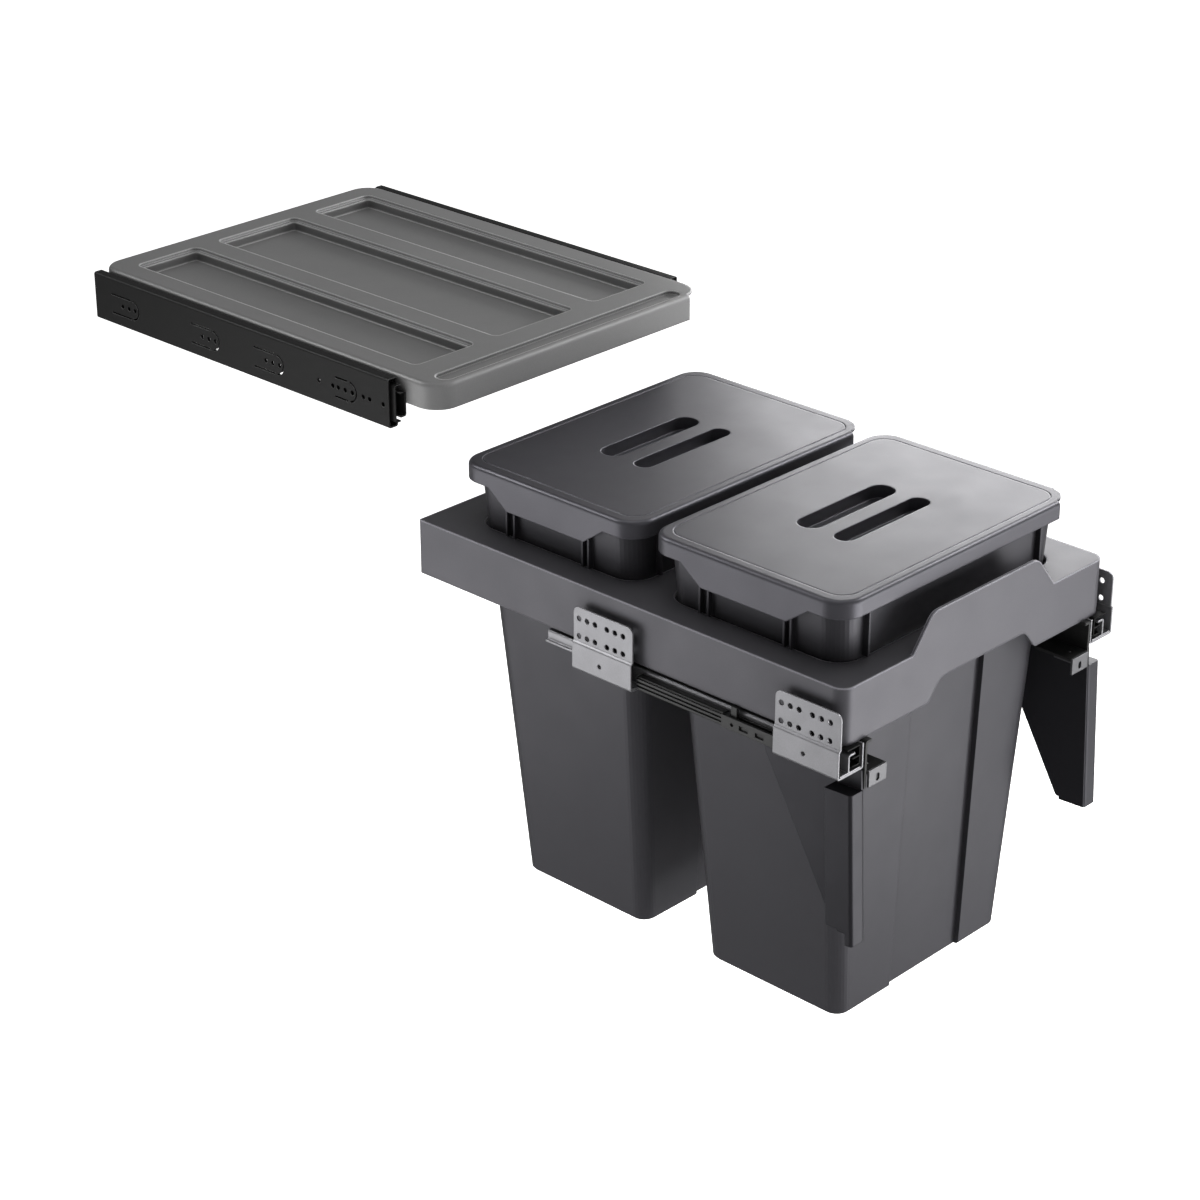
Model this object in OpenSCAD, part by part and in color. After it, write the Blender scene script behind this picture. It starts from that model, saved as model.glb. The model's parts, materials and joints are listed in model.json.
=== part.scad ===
// Pull-out waste bin for a kitchen base cabinet: two lidded bins in a frame that runs on
// under-mounted rails, with door arms in front and a sliding shelf lid behind and above.
// The origin is the centre of the left front bracket's hole pattern, on the outer face of
// its upper plate. X runs across the cabinet, Y from the door to the rear, Z up.

/* [Cabinet] */
// Clear width between the cabinet's sides
cabinet_w = 364; // [364:1:414]

/* [Brackets] */
// Sheet thickness of the brackets
bracket_t = 1.5; // [1.2:0.1:1.8]
// Step outwards from a bracket's upper plate to its lower plate
bracket_step = 2; // [1.8:0.1:2.6]
// Length of a bracket in front of its hole pattern's centre
bracket_front = 35.5; // [33:0.5:38]
// Length of a bracket behind its hole pattern's centre
bracket_rear = 31; // [29:0.5:33]
// Height of the upper plate above the hole pattern's centre
bracket_top = 18; // [15:0.5:22]
// Depth of the step below the hole pattern's centre
step_drop = 12.5; // [12:0.5:14]
// Depth of the cradle's floor below the hole pattern's centre
cradle_drop = 37.5; // [37:0.5:40]
// Outside width of the cradle that holds the rail
cradle_w = 31; // [30.5:0.1:31.5]
// Height of the cradle's inner wall above its floor
cradle_wall_h = 21; // [18:0.5:21]
// Corner radius of the upper plate
bracket_corner_r = 6; // [2:0.5:8]
// Distance from the front brackets to the rear ones
bracket_pitch = 219; // [200:1:224]
// Radius of the fixing holes
fixing_r = 2.5; // [1.5:0.1:3]
// Distance between the two rows of fixing holes
fixing_row_gap = 16; // [14:0.5:17]
// Distance between neighbouring fixing holes
fixing_pitch = 9; // [8:0.25:9.5]
// Distance between the two middle holes of a row
fixing_middle_gap = 13.5; // [8:0.5:14]
// Inside radius of the folds in the sheet metal
fold_r = 0.8; // [0.4:0.1:1.2]
// Radius of the single low hole
low_hole_r = 2; // [1:0.1:3]
// Depth of the low hole below the hole pattern's centre
low_hole_drop = 27.5; // [24:0.5:31]

/* [Lower rails] */
// Distance from the bracket's upper plate to the cabinet rail's wall
rail_inset = 10.5; // [10:0.1:11]
// Sheet thickness of the cabinet rail
rail_t = 1.5; // [1.2:0.1:1.8]
// Height of the cabinet rail
rail_h = 16.5; // [15.5:0.1:17]
// Width of the cabinet rail's top flange
rail_flange_w = 8; // [6:0.5:10]
// Width of the cabinet rail's floor, inboard of its wall
rail_floor_w = 15; // [14:0.5:16]
// Width of the feet that rest on the brackets
rail_foot_w = 10; // [8:0.5:10.5]
// Length of the open tail behind the rear brackets
rail_tail = 40; // [20:1:60]
// Height of the open tail
rail_tail_h = 10; // [6:0.5:12]
// Sheet thickness of the middle and drawer rails
slim_t = 1.2; // [0.8:0.1:1.3]
// Sideways gap between the rails' walls
rail_side_gap = 1; // [0.6:0.1:1.2]
// Width of the middle rail
middle_w = 8; // [7:0.1:8.5]
// Front end of the middle rail behind the brackets' front ends
middle_setback = 5.5; // [2:0.5:10]
// Length of the middle rail
middle_len = 300; // [280:1:310]
// Outside width of the drawer rail's foot
foot_w = 9.5; // [8.5:0.1:10]
// Distance from the cabinet rail's wall to the drawer rail's web face
foot_inset = 14.5; // [14:0.1:15]
// Width of the drawer rail's top flange
drawer_flange_w = 16; // [14:0.5:17]
// Length of the drawer rail
drawer_len = 320; // [300:1:330]
// Thickness of the plastic glides
glide_t = 0.6; // [0.4:0.1:0.8]
// Length of a glide
glide_len = 30; // [15:1:40]
// Running gap over a glide
run_gap = 0.1; // [0.05:0.01:0.15]

/* [Soft close] */
// Width of the soft-close housing
damper_w = 8; // [7:0.1:9]
// Height of the soft-close housing
damper_h = 12; // [10:0.5:12.5]
// Gap between the soft-close housing and each bracket
damper_end_gap = 2; // [0.5:0.5:4]
// Length of the catch at the housing's front
catch_len = 56; // [40:1:70]
// Width of the catch's groove
catch_groove_w = 3.6; // [3:0.1:4.4]
// Depth of the catch's groove
catch_groove_d = 7; // [5:0.5:8]
// Clearance of the hook in the groove
hook_gap = 0.5; // [0.3:0.05:0.8]

/* [Bin frame] */
// Gap between the brackets' upper plates and the frame
frame_gap = 8; // [7:0.5:9]
// Depth of the frame from front to rear
frame_d = 474; // [460:1:500]
// Front face of the frame, in front of the hole pattern's centre
frame_front = 31; // [30:0.5:33]
// Height of the frame
frame_h = 50; // [46:0.5:56]
// Depth of the frame's lower edge below the hole pattern's centre
frame_drop = 16; // [15.5:0.25:17]
// Thickness of the frame's walls and deck
frame_t = 3; // [2.4:0.1:3.4]
// Radius of the frame's front corners
frame_front_r = 12; // [4:0.5:16]
// Radius of the frame's rear corners
frame_rear_r = 2; // [1:0.5:6]
// Width of the ledge that takes the rails
ledge_w = 15; // [13:0.5:15.4]
// Thickness of the ledge
ledge_t = 2.5; // [2:0.1:3]
// Thickness of the ribs below the deck
rib_t = 2; // [1.5:0.1:3]
// Number of ribs on each side
rib_count = 7; // [4:1:9]
// Width of an opening in the deck
opening_w = 284; // [282:1:292]
// Depth of an opening in the deck
opening_d = 188; // [187:1:194]
// Corner radius of an opening
opening_r = 23; // [10:1:24]
// Height of the raised front edge above the deck
arch_h = 30; // [10:1:32]
// Width of the raised front edge along its top
arch_top_w = 138; // [100:1:160]
// Width of the slope at each end of the raised edge
arch_slope = 24; // [20:1:35]
// Shift of the raised edge to the right of the middle
arch_shift = 6; // [-6:0.5:8]
// Height of the cut under the raised edge
cut_h = 18; // [5:1:24]
// Width of the cut along its top
cut_top_w = 112; // [80:1:150]
// Width of the slope at each end of the cut
cut_slope = 15; // [8:1:25]
// Radius of the bends in the front edge
arch_r = 14; // [4:0.5:15]

/* [Bins] */
// Distance from the front bin to the rear one
bin_pitch = 220; // [216:1:226]
// Width of a bin at the deck
bin_w = 278; // [272:1:280]
// Depth of a bin at the deck
bin_d = 182; // [178:1:184]
// Depth of a bin below the deck
bin_drop = 345; // [250:1:380]
// Width of a bin at its bottom
bin_bottom_w = 220; // [200:1:240]
// Depth of a bin at its bottom
bin_bottom_d = 147.7; // [130:0.1:160]
// Setback of the bottom edge behind the front edge at the deck
bin_front_taper = 11.8; // [4:0.2:16]
// Wall thickness of a bin
bin_t = 2.2; // [1.5:0.1:3]
// Corner radius of a bin at its rim
bin_r = 20; // [12:0.5:24]
// Corner radius of a bin at its bottom
bin_bottom_r = 14; // [8:0.5:18]
// Width of the rim that the lid rests on
rim_w = 3.4; // [2:0.1:4]
// Thickness of the rim
rim_t = 3.5; // [2:0.1:5]
// Width of the recess in a bin's front
recess_w = 95; // [60:1:120]
// Shift of the recess to the right of the middle
recess_shift = 5.5; // [-6:0.5:8]
// Depth of the recess
recess_d = 5; // [2:0.5:7]
// Thickness of the fins that stand on the deck
fin_t = 2; // [1.5:0.1:3]
// Reach of the fins beyond the bin's wall at the deck
fin_reach = 6; // [5:0.25:7]

/* [Bin lids] */
// Width of a lid
lid_w = 302; // [300:1:306]
// Depth of a lid
lid_d = 206; // [204:1:210]
// Height of a lid's edge
lid_h = 15.5; // [12:0.5:20]
// Height of the lid's top above the deck
lid_top_h = 58; // [50:0.5:66]
// Thickness of a lid
lid_t = 2.5; // [2:0.1:3]
// Corner radius of a lid
lid_r = 22; // [21:0.5:26]
// Radius of a lid's top edge
lid_edge_r = 4; // [3.2:0.1:6]
// Width of the border outside the lid's panel line
lid_border = 10; // [8:0.5:14]
// Width of the panel line
line_w = 1; // [0.6:0.1:1.5]
// Depth of the panel line
line_d = 0.6; // [0.3:0.1:1]
// Length of a finger recess
finger_len = 114; // [90:1:130]
// Width of the front finger recess
finger_front_w = 19.4; // [16:0.2:22]
// Width of the rear finger recess
finger_rear_w = 24; // [18:0.2:28]
// Width of the bridge between the finger recesses
finger_bridge = 16; // [10:0.5:20]
// Depth of the finger recesses
finger_depth = 12; // [8:0.5:14]
// Length of the grip tab where it leaves the edge
tab_len = 134; // [100:1:150]
// Length of the grip tab along its bottom
tab_bottom_len = 90; // [60:1:110]
// Height of the grip tab
tab_h = 16; // [10:0.5:20]

/* [Door arms] */
// Thickness of the arms' sheet
arm_t = 2.5; // [2:0.1:3]
// Gap between the bracket's cradle and the arm
arm_gap = 1.5; // [1:0.1:2]
// Height of the arm's leg
arm_h = 42; // [38:0.5:50]
// Length of the arm from front to rear
arm_len = 101; // [80:1:110]
// Width of the arm's top flange
arm_flange_w = 7.5; // [6.5:0.1:8]
// Width of the arm's shelf plate
arm_shelf_w = 23; // [16:0.5:26]
// Length of the arm's shelf plate
arm_shelf_len = 37; // [24:1:38]
// Depth of the arm's shelf plate below the frame
arm_shelf_drop = 27; // [25:0.5:30]
// Height of the slotted tab
slot_tab_h = 14.5; // [12:0.5:18]
// Length of the slotted tab's foot
slot_tab_foot = 18; // [12:1:24]
// Half the width of the slot
slot_r = 2; // [1.5:0.1:2.5]
// End-to-end length of the slot
slot_len = 7; // [5:0.5:8]

/* [Door wings] */
// Width of a wing's front strip
wing_w = 16.5; // [14:0.5:22]
// Depth of a wing's front strip
wing_box_d = 27; // [12:0.5:30]
// Height of a wing's front strip
wing_h = 135; // [100:1:160]
// Gap between the cradles and a wing's top
wing_top_gap = 3; // [2:0.5:5]
// Forward lean of a wing in degrees, as it is set to the door
wing_lean = 2.8; // [0:0.1:3]
// Thickness of a wing's walls
wing_t = 2.5; // [2:0.1:3]
// Radius of a wing's front edges
wing_edge_r = 3; // [1:0.5:4]

/* [Shelf lid] */
// Depth of the shelf lid from front to rear
shelf_d = 455; // [440:1:480]
// Front edge of the shelf lid behind the hole pattern's centre
shelf_front = 419; // [417:1:440]
// Height of the shelf lid's top above the deck
shelf_top_h = 127.5; // [100:0.5:160]
// Height of the shelf lid's edge
shelf_h = 24; // [20:0.5:30]
// Thickness of the shelf lid
shelf_t = 2.5; // [2:0.1:3]
// Corner radius of the shelf lid
shelf_r = 22; // [12:0.5:30]
// Radius of the shelf lid's top edge
shelf_edge_r = 4; // [3.2:0.1:6]
// Width of the rim beside the bays
bay_side_rim = 24; // [16:0.5:30]
// Width of the rim behind the bays
bay_rear_rim = 26; // [16:0.5:36]
// Width of the rim in front of the bays
bay_front_rim = 51; // [44:0.5:60]
// Width of the ribs between the bays
bay_rib = 25; // [16:0.5:30]
// Width of the middle bay
bay_middle_w = 98; // [80:1:110]
// Depth of the bays
bay_depth = 11.5; // [8:0.5:14]
// Corner radius of the bays
bay_r = 7; // [3:0.5:10]
// Width of the step round a bay's top
bay_step_w = 4; // [2:0.5:6]
// Depth of the step round a bay's top
bay_step_d = 3; // [1:0.5:4]
// Width of the long groove along the front
groove_w = 17; // [10:0.5:22]
// Depth of the long groove
groove_depth = 3.5; // [2:0.5:5]
// Gap between the long groove and the front edge
groove_front_gap = 6; // [5:0.5:8]

/* [Shelf slides] */
// Height of a shelf slide
slide_h = 45; // [44:0.5:47]
// Thickness of a shelf slide
slide_t = 12; // [11.8:0.1:12.4]
// Length of a shelf slide
slide_len = 400; // [380:1:410]
// Front end of a shelf slide behind the shelf lid's front edge
slide_setback = 47; // [40:1:56]
// Height of the shelf lid's top above the slide's top
slide_top_drop = 2; // [1:0.5:4]
// Sheet thickness of the slides
slide_sheet = 1.2; // [1:0.1:1.4]
// Reach of the outer rail's flanges
outer_reach = 10.2; // [10:0.1:10.5]
// Height of the outer rail's lips
outer_lip = 5; // [3:0.5:5.5]
// Diameter of the balls
ball_d = 4.3; // [4:0.1:4.4]
// Clearance between a ball and its track
ball_gap = 0.05; // [0.03:0.01:0.1]
// Number of balls in a row
ball_count = 6; // [4:1:8]
// Thickness of a ball cage
cage_t = 0.6; // [0.4:0.1:0.7]
// Length of a ball cage
cage_len = 225; // [180:1:230]
// Radius of a slide's fixing holes
slide_hole_r = 2.2; // [1.5:0.1:2.6]

/* [Fasteners] */
// Shank radius of the rivets
rivet_r = 1.5; // [1.2:0.1:2]
// Head radius of the rivets
rivet_head_r = 2.8; // [2.4:0.1:3.4]
// Head height of the rivets
rivet_head_h = 0.8; // [0.5:0.1:1.2]
// Shank radius of the screws
screw_r = 1.6; // [1.2:0.1:1.9]
// Head radius of the screws
screw_head_r = 2.3; // [2:0.1:2.4]
// Head height of the screws
screw_head_h = 1.6; // [1:0.1:1.6]
// Clearance round a shank
shank_gap = 0.1; // [0.05:0.01:0.15]

/* [Hidden] */
$fn = 48;
skin = 0.01;
cut_over = 1;

zinc = [0.72, 0.72, 0.73];
black_steel = [0.08, 0.08, 0.085];
anthracite = [0.33, 0.33, 0.35];
anthracite_light = [0.4, 0.4, 0.42];
black_plastic = [0.13, 0.13, 0.14];
glide_white = [0.88, 0.88, 0.85];
bright_steel = [0.8, 0.8, 0.82];

mid_x = cabinet_w / 2 - bracket_step;
side_x = -bracket_step;

// Bracket levels
cradle_floor_z = -cradle_drop;
cradle_bottom_z = cradle_floor_z - bracket_t;
cradle_inner_x = side_x + cradle_w;

// Frame levels
frame_bottom_z = -frame_drop;
deck_z = frame_bottom_z + frame_h;
frame_x0 = frame_gap;
frame_x1 = 2 * mid_x - frame_gap;
frame_y0 = -frame_front;
frame_y1 = frame_y0 + frame_d;
opening_x0 = mid_x - opening_w / 2;
opening_x1 = mid_x + opening_w / 2;
rib_margin = 14;
bin_y0 = 0;
bin_y1 = bin_y0 + bin_d;
opening_y0 = (bin_y0 + bin_y1) / 2 - opening_d / 2;
opening_y1 = opening_y0 + opening_d;

// Lower rail levels
rail_x0 = rail_inset;
rail_x1 = rail_x0 + rail_t;
rail_y0 = -bracket_front;
rail_y1 = bracket_pitch + bracket_rear;
rail_top_z = cradle_floor_z + rail_h;
rail_mid_z = cradle_floor_z + rail_h / 2;
middle_h = rail_h - 2 * rail_t - 2 * glide_t - 2 * run_gap;
middle_x0 = rail_x1 + rail_side_gap;
middle_y0 = rail_y0 + middle_setback;
foot_h = middle_h - 2 * slim_t - 2 * glide_t - 2 * run_gap;
foot_x1 = rail_x0 + foot_inset;
foot_x0 = foot_x1 - foot_w;
drawer_flange_z = frame_bottom_z - slim_t;
drawer_flange_x0 = foot_x1 - drawer_flange_w;
carriage_travel = drawer_len;
rail_screw_shares = [0.08, 0.48, 0.9];
rivet_share = 0.55;

// Glides stay inside their tracks over the whole travel
glide_front_y = rail_y0 + carriage_travel / 2 + 5;
glide_rear_y = middle_y0 + middle_len - glide_len - 5;

// Soft close
damper_y0 = bracket_rear + damper_end_gap;
damper_y1 = bracket_pitch - bracket_front - damper_end_gap;
damper_x0 = rail_x0 - damper_w;
groove_x = rail_x0 - damper_w / 2;
hook_len = 6;
hook_setback = 8;
hook_y0 = damper_y0 + catch_len - hook_len - hook_setback;
hook_arm_t = 2;
ridge_shares = [0.12, 0.42, 0.72];
ridge_share = 0.16;
ridge_d = 1.5;

// Bin levels
bin_bottom_z = deck_z - bin_drop;
lid_top_z = deck_z + lid_top_h;
lid_bottom_z = lid_top_z - lid_h;
rim_z = lid_top_z - lid_t;
bin_above = rim_z - deck_z;
side_slope = (bin_w - bin_bottom_w) / bin_drop;
front_slope = bin_front_taper / bin_drop;
rear_slope = (bin_d - bin_bottom_d - bin_front_taper) / bin_drop;
rim_out_w = bin_w + side_slope * bin_above;
rim_y0 = bin_y0 - front_slope * bin_above;
rim_y1 = bin_y1 + rear_slope * bin_above;
bottom_y0 = bin_y0 + bin_front_taper;
bottom_y1 = bottom_y0 + bin_bottom_d;
foot_chamfer = 2;
fin_y = [47, 54, 134, 143];
fin_inset = 26;
recess_top_drop = 14;
recess_run_out = 8;
lid_y0 = (rim_y0 + rim_y1) / 2 - lid_d / 2;
lid_y1 = lid_y0 + lid_d;
finger_mid_y = (lid_y0 + lid_y1) / 2 - 1;

// Door arms
arm_x0 = cradle_inner_x + arm_gap;
arm_y0 = -bracket_front - 0.5;
arm_y1 = arm_y0 + arm_len;
arm_shelf_z = frame_bottom_z - arm_shelf_drop;
arm_bottom_z = frame_bottom_z - arm_h;
wing_top_z = cradle_bottom_z - wing_top_gap;
wing_strip_z = arm_bottom_z - 2;
wing_bottom_z = wing_strip_z - wing_h;
pad_t = 3;
pad_tail = 5;
arm_fold_r = 0.3;
tab_t = 2;
slot_shift = 1.5;
arm_screw_shares = [0.2, 0.75];
wing_screw_shares = [0.32, 0.7];
wing_plate_rise = 14;
wing_foot_y = 30;
wing_lip_d = 7;
wing_notch_h = 12;

// Shelf lid and its slides
shelf_top_z = deck_z + shelf_top_h;
shelf_bottom_z = shelf_top_z - shelf_h;
shelf_x0 = side_x + slide_t;
shelf_x1 = 2 * mid_x - shelf_x0;
shelf_y0 = shelf_front;
shelf_y1 = shelf_y0 + shelf_d;
slide_y0 = shelf_y0 + slide_setback;
slide_z1 = shelf_top_z - slide_top_drop;
slide_z0 = slide_z1 - slide_h;
slide_mid_z = (slide_z0 + slide_z1) / 2;
track = ball_d + 2 * ball_gap;
shelf_middle_h = slide_h - 2 * slide_sheet - 2 * track;
shelf_inner_h = shelf_middle_h - 2 * slide_sheet - 2 * track;
shelf_middle_x0 = side_x + 3;
shelf_middle_x1 = side_x + outer_reach - 1;
shelf_inner_x1 = shelf_x0;
shelf_inner_x0 = shelf_middle_x0 + slide_sheet + 1.4;
inner_ahead = 9;
middle_ahead = 5;
cage_setback = 8.5;
cage_y0 = slide_y0 + (slide_len - cage_len) / 2 - cage_setback;
groove_x0 = shelf_x0 + 16;
groove_x1 = shelf_x1 - 24;
dimple_r = 9;
dimple_depth = 4.2;
shelf_screw_shares = [0.075, 0.475, 0.875];
shelf_screw_rise = 6;
lance_y = [40, 135, 222, 336];
lance_len = [28, 40, 40, 40];
lance_gap = 18;
lance_hole_y = [6, 15, 24];
lone_hole_y = [7, 24, 32, 71, 89];

// Right-hand pieces mirror the left-hand ones about the middle of the cabinet
module at_right() {
    translate([2 * mid_x, 0, 0]) mirror([1, 0, 0]) children();
}

module both_sides() {
    children();
    at_right() children();
}

// A profile drawn in X and Z, run along Y
module along_y(y0, y1) {
    translate([0, y1, 0]) rotate([90, 0, 0]) linear_extrude(y1 - y0) children();
}

// A profile drawn in Y and Z, run along X
module along_x(x0, x1) {
    translate([x0, 0, 0]) rotate([90, 0, 90]) linear_extrude(x1 - x0) children();
}

module along_z(z0, z1) {
    translate([0, 0, z0]) linear_extrude(z1 - z0) children();
}

module span(a0, a1, b0, b1) {
    translate([a0, b0]) square([a1 - a0, b1 - b0]);
}

// A rectangle whose front and rear corners have their own radii
module rounded_area(x0, x1, y0, y1, r0, r1) {
    polygon([
        [x0 + r0, y0], [x1 - r0, y0], [x1, y0 + r0], [x1, y1 - r1],
        [x1 - r1, y1], [x0 + r1, y1], [x0, y1 - r1], [x0, y0 + r0]
    ]);
    for (x = [x0 + r0, x1 - r0]) translate([x, y0 + r0]) circle(r = r0);
    for (x = [x0 + r1, x1 - r1]) translate([x, y1 - r1]) circle(r = r1);
}

module obround(x0, x1, y0, y1) {
    r = min(x1 - x0, y1 - y0) / 2;
    rounded_area(x0, x1, y0, y1, r, r);
}

// Bends an outline's corners to their radii
function unit(v) = v / norm(v);
function turn(a) = a > 180 ? a - 360 : (a < -180 ? a + 360 : a);
function bend(a, b, c, r, n = 5) =
    r == 0 ? [b] :
    let (
        u = unit(a - b),
        v = unit(c - b),
        half = acos(u * v) / 2,
        mid = b + unit(u + v) * r / sin(half),
        p = b + u * r / tan(half),
        q = b + v * r / tan(half),
        a0 = atan2(p[1] - mid[1], p[0] - mid[0]),
        sweep = turn(atan2(q[1] - mid[1], q[0] - mid[0]) - a0)
    )
    [for (i = [0 : n]) mid + r * [cos(a0 + sweep * i / n), sin(a0 + sweep * i / n)]];
function bent(points, radii) = [
    for (i = [0 : len(points) - 1])
        each bend(
            points[(i + len(points) - 1) % len(points)],
            points[i],
            points[(i + 1) % len(points)],
            radii[i]
        )
];

// A sheet folded along a line: it lies to the left of the line, and each fold has the inside radius r
function left_of(a, b) = let (u = unit(b - a)) [-u[1], u[0]];
function mitre(points, i, t) =
    i == 0 ? points[0] + t * left_of(points[0], points[1]) :
    i == len(points) - 1 ? points[i] + t * left_of(points[i - 1], points[i]) :
    let (m = left_of(points[i - 1], points[i]), n = left_of(points[i], points[i + 1]))
    points[i] + t * (m + n) / (1 + m * n);
function fold_radius(points, i, near, far) =
    i == 0 || i == len(points) - 1 ? 0 :
    cross(points[i] - points[i - 1], points[i + 1] - points[i]) > 0 ? near : far;
function folded(points, t, r = fold_r) =
    let (last = len(points) - 1)
    bent(
        concat(points, [for (i = [last : -1 : 0]) mitre(points, i, t)]),
        concat(
            [for (i = [0 : last]) fold_radius(points, i, r + t, r)],
            [for (i = [last : -1 : 0]) fold_radius(points, i, r, r + t)]
        )
    );

// A rim whose profile is drawn with its outer face at zero and runs round a rounded rectangle
module around(x0, x1, y0, y1, r) {
    for (end = [0, 1]) {
        translate([end * (x0 + x1), 0, 0]) mirror([end, 0, 0]) {
            translate([x1, 0, 0]) along_y(y0 + r, y1 - r) children();
            translate([x1 - r, y1 - r, 0]) rotate_extrude(angle = 90) translate([r, 0]) children();
        }
        translate([0, end * (y0 + y1), 0]) mirror([0, end, 0]) {
            translate([x0 + x1 - (x0 + r), y1, 0]) rotate([0, 0, 90]) along_y(0, x1 - x0 - 2 * r)
                children();
            translate([x0 + r, y1 - r, 0]) rotate([0, 0, 90])
                rotate_extrude(angle = 90) translate([r, 0]) children();
        }
    }
}

// The edge profile of a lid: a hanging wall that turns over a rounded top
module lid_edge(reach, thick, edge_r, z0, z1) {
    difference() {
        union() {
            span(-edge_r, 0, z0, z1 - edge_r);
            span(-reach, -edge_r, z0, z1);
            translate([-edge_r, z1 - edge_r]) circle(r = edge_r);
        }
        span(-reach - cut_over, -edge_r, z0 - cut_over, z1 - thick);
        span(-reach - cut_over, -thick, z0 - cut_over, z1 - edge_r);
        translate([-edge_r, z1 - edge_r]) circle(r = edge_r - thick);
    }
}

// Brackets
module bracket_shape() {
    inner_x = side_x + bracket_t;
    color(zinc) difference() {
        intersection() {
            along_y(-bracket_front, bracket_rear) polygon(folded(
                [[0, bracket_top], [0, -step_drop], [side_x, -step_drop - bracket_step],
                 [side_x, cradle_bottom_z], [cradle_inner_x, cradle_bottom_z],
                 [cradle_inner_x, cradle_floor_z + cradle_wall_h]],
                bracket_t
            ));
            along_x(side_x - cut_over, cradle_inner_x + cut_over) polygon(bent(
                [[-bracket_front, cradle_bottom_z - cut_over], [bracket_rear, cradle_bottom_z - cut_over],
                 [bracket_rear, bracket_top], [-bracket_front, bracket_top]],
                [0, 0, bracket_corner_r, bracket_corner_r]
            ));
        }
        for (row = [-1, 1], end = [-1, 1], step = [0 : 2])
            translate([0, end * (fixing_middle_gap / 2 + step * fixing_pitch), row * fixing_row_gap / 2])
                rotate([0, 90, 0])
                cylinder(r = fixing_r, h = 4 * bracket_t, center = true);
        translate([inner_x, 0, -low_hole_drop]) rotate([0, 90, 0])
            cylinder(r = low_hole_r, h = 4 * bracket_t, center = true);
        rivet_places() cylinder(r = rivet_r + shank_gap, h = 4 * bracket_t, center = true);
    }
}

// Two rivets hold the rail's foot to the cradle's floor
module rivet_places() {
    x = (rail_x0 + side_x + bracket_t) / 2;
    for (y = [-rivet_share * bracket_front, rivet_share * bracket_rear])
        translate([x, y, cradle_floor_z]) children();
}

module rivet_shape() {
    total = bracket_t + rail_t;
    translate([0, 0, -bracket_t]) cylinder(r = rivet_r, h = total);
    translate([0, 0, rail_t]) cylinder(r = rivet_head_r, h = rivet_head_h);
    translate([0, 0, -bracket_t - rivet_head_h]) cylinder(r = rivet_head_r, h = rivet_head_h);
}

module bracket_front_left() bracket_shape();
module bracket_front_right() at_right() bracket_shape();
module bracket_rear_left() translate([0, bracket_pitch, 0]) bracket_shape();
module bracket_rear_right() at_right() translate([0, bracket_pitch, 0]) bracket_shape();

module rail_rivets() {
    color(zinc) both_sides() for (y = [0, bracket_pitch])
        translate([0, y, 0]) rivet_places() rivet_shape();
}

// Lower rails
module cabinet_rail_left() {
    color(zinc) difference() {
        union() {
            along_y(rail_y0, rail_y1) polygon(folded(
                [[rail_x0 + rail_flange_w, rail_top_z], [rail_x0, rail_top_z],
                 [rail_x0, cradle_floor_z], [rail_x0 + rail_floor_w, cradle_floor_z]],
                rail_t
            ));
            along_y(rail_y1 - cut_over, rail_y1 + rail_tail) polygon(folded(
                [[rail_x0 + rail_flange_w, rail_top_z], [rail_x0, rail_top_z],
                 [rail_x0, rail_top_z - rail_tail_h + rail_t],
                 [rail_x0 - 2 * rail_t, rail_top_z - rail_tail_h + rail_t]],
                rail_t
            ));
            for (y = [0, bracket_pitch]) along_y(y - bracket_front, y + bracket_rear)
                span(rail_x0 - rail_foot_w, rail_x1, cradle_floor_z, cradle_floor_z + rail_t);
        }
        for (y = [0, bracket_pitch]) translate([0, y, 0]) rivet_places()
            cylinder(r = rivet_r + shank_gap, h = 4 * rail_t, center = true);
    }
}
module cabinet_rail_right() at_right() cabinet_rail_left();

module middle_rail_left() {
    lo = rail_mid_z - middle_h / 2;
    hi = rail_mid_z + middle_h / 2;
    color(black_steel) along_y(middle_y0, middle_y0 + middle_len) polygon(folded(
        [[middle_x0 + middle_w, hi], [middle_x0, hi], [middle_x0, lo], [middle_x0 + middle_w, lo]],
        slim_t
    ));
}
module middle_rail_right() at_right() middle_rail_left();

// Plastic strips that run between one rail's flanges and the next
module glides(x0, x1, height) {
    for (y = [glide_front_y, glide_rear_y], side = [-1, 1]) along_y(y, y + glide_len)
        translate([x0, rail_mid_z + side * (height + glide_t) / 2 - glide_t / 2])
            square([x1 - x0, glide_t]);
}

module middle_glides_left() {
    color(glide_white)
        glides(middle_x0 + slim_t + fold_r, rail_x0 + rail_flange_w - cut_over, middle_h);
}
module middle_glides_right() at_right() middle_glides_left();

module drawer_rail_left() {
    color(black_steel) difference() {
        along_y(rail_y0, rail_y0 + drawer_len) {
            polygon(folded(
                [[foot_x0, rail_mid_z - foot_h / 2], [foot_x1, rail_mid_z - foot_h / 2],
                 [foot_x1, frame_bottom_z], [drawer_flange_x0, frame_bottom_z]],
                slim_t
            ));
            span(foot_x0, foot_x1 - slim_t / 2,
                rail_mid_z + foot_h / 2 - slim_t, rail_mid_z + foot_h / 2);
        }
        rail_screw_places() cylinder(r = screw_r + shank_gap, h = 4 * slim_t, center = true);
    }
}
module drawer_rail_right() at_right() drawer_rail_left();

module drawer_glides() {
    color(glide_white) both_sides() glides(foot_x0, middle_x0 + middle_w, foot_h);
}

module rail_screw_places() {
    x = foot_x1 - drawer_flange_w / 2;
    for (share = rail_screw_shares)
        translate([x, rail_y0 + share * drawer_len, frame_bottom_z]) children();
}

module screw_up(length) {
    cylinder(r = screw_r, h = length);
    translate([0, 0, -screw_head_h]) cylinder(r = screw_head_r, h = screw_head_h);
}

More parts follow.
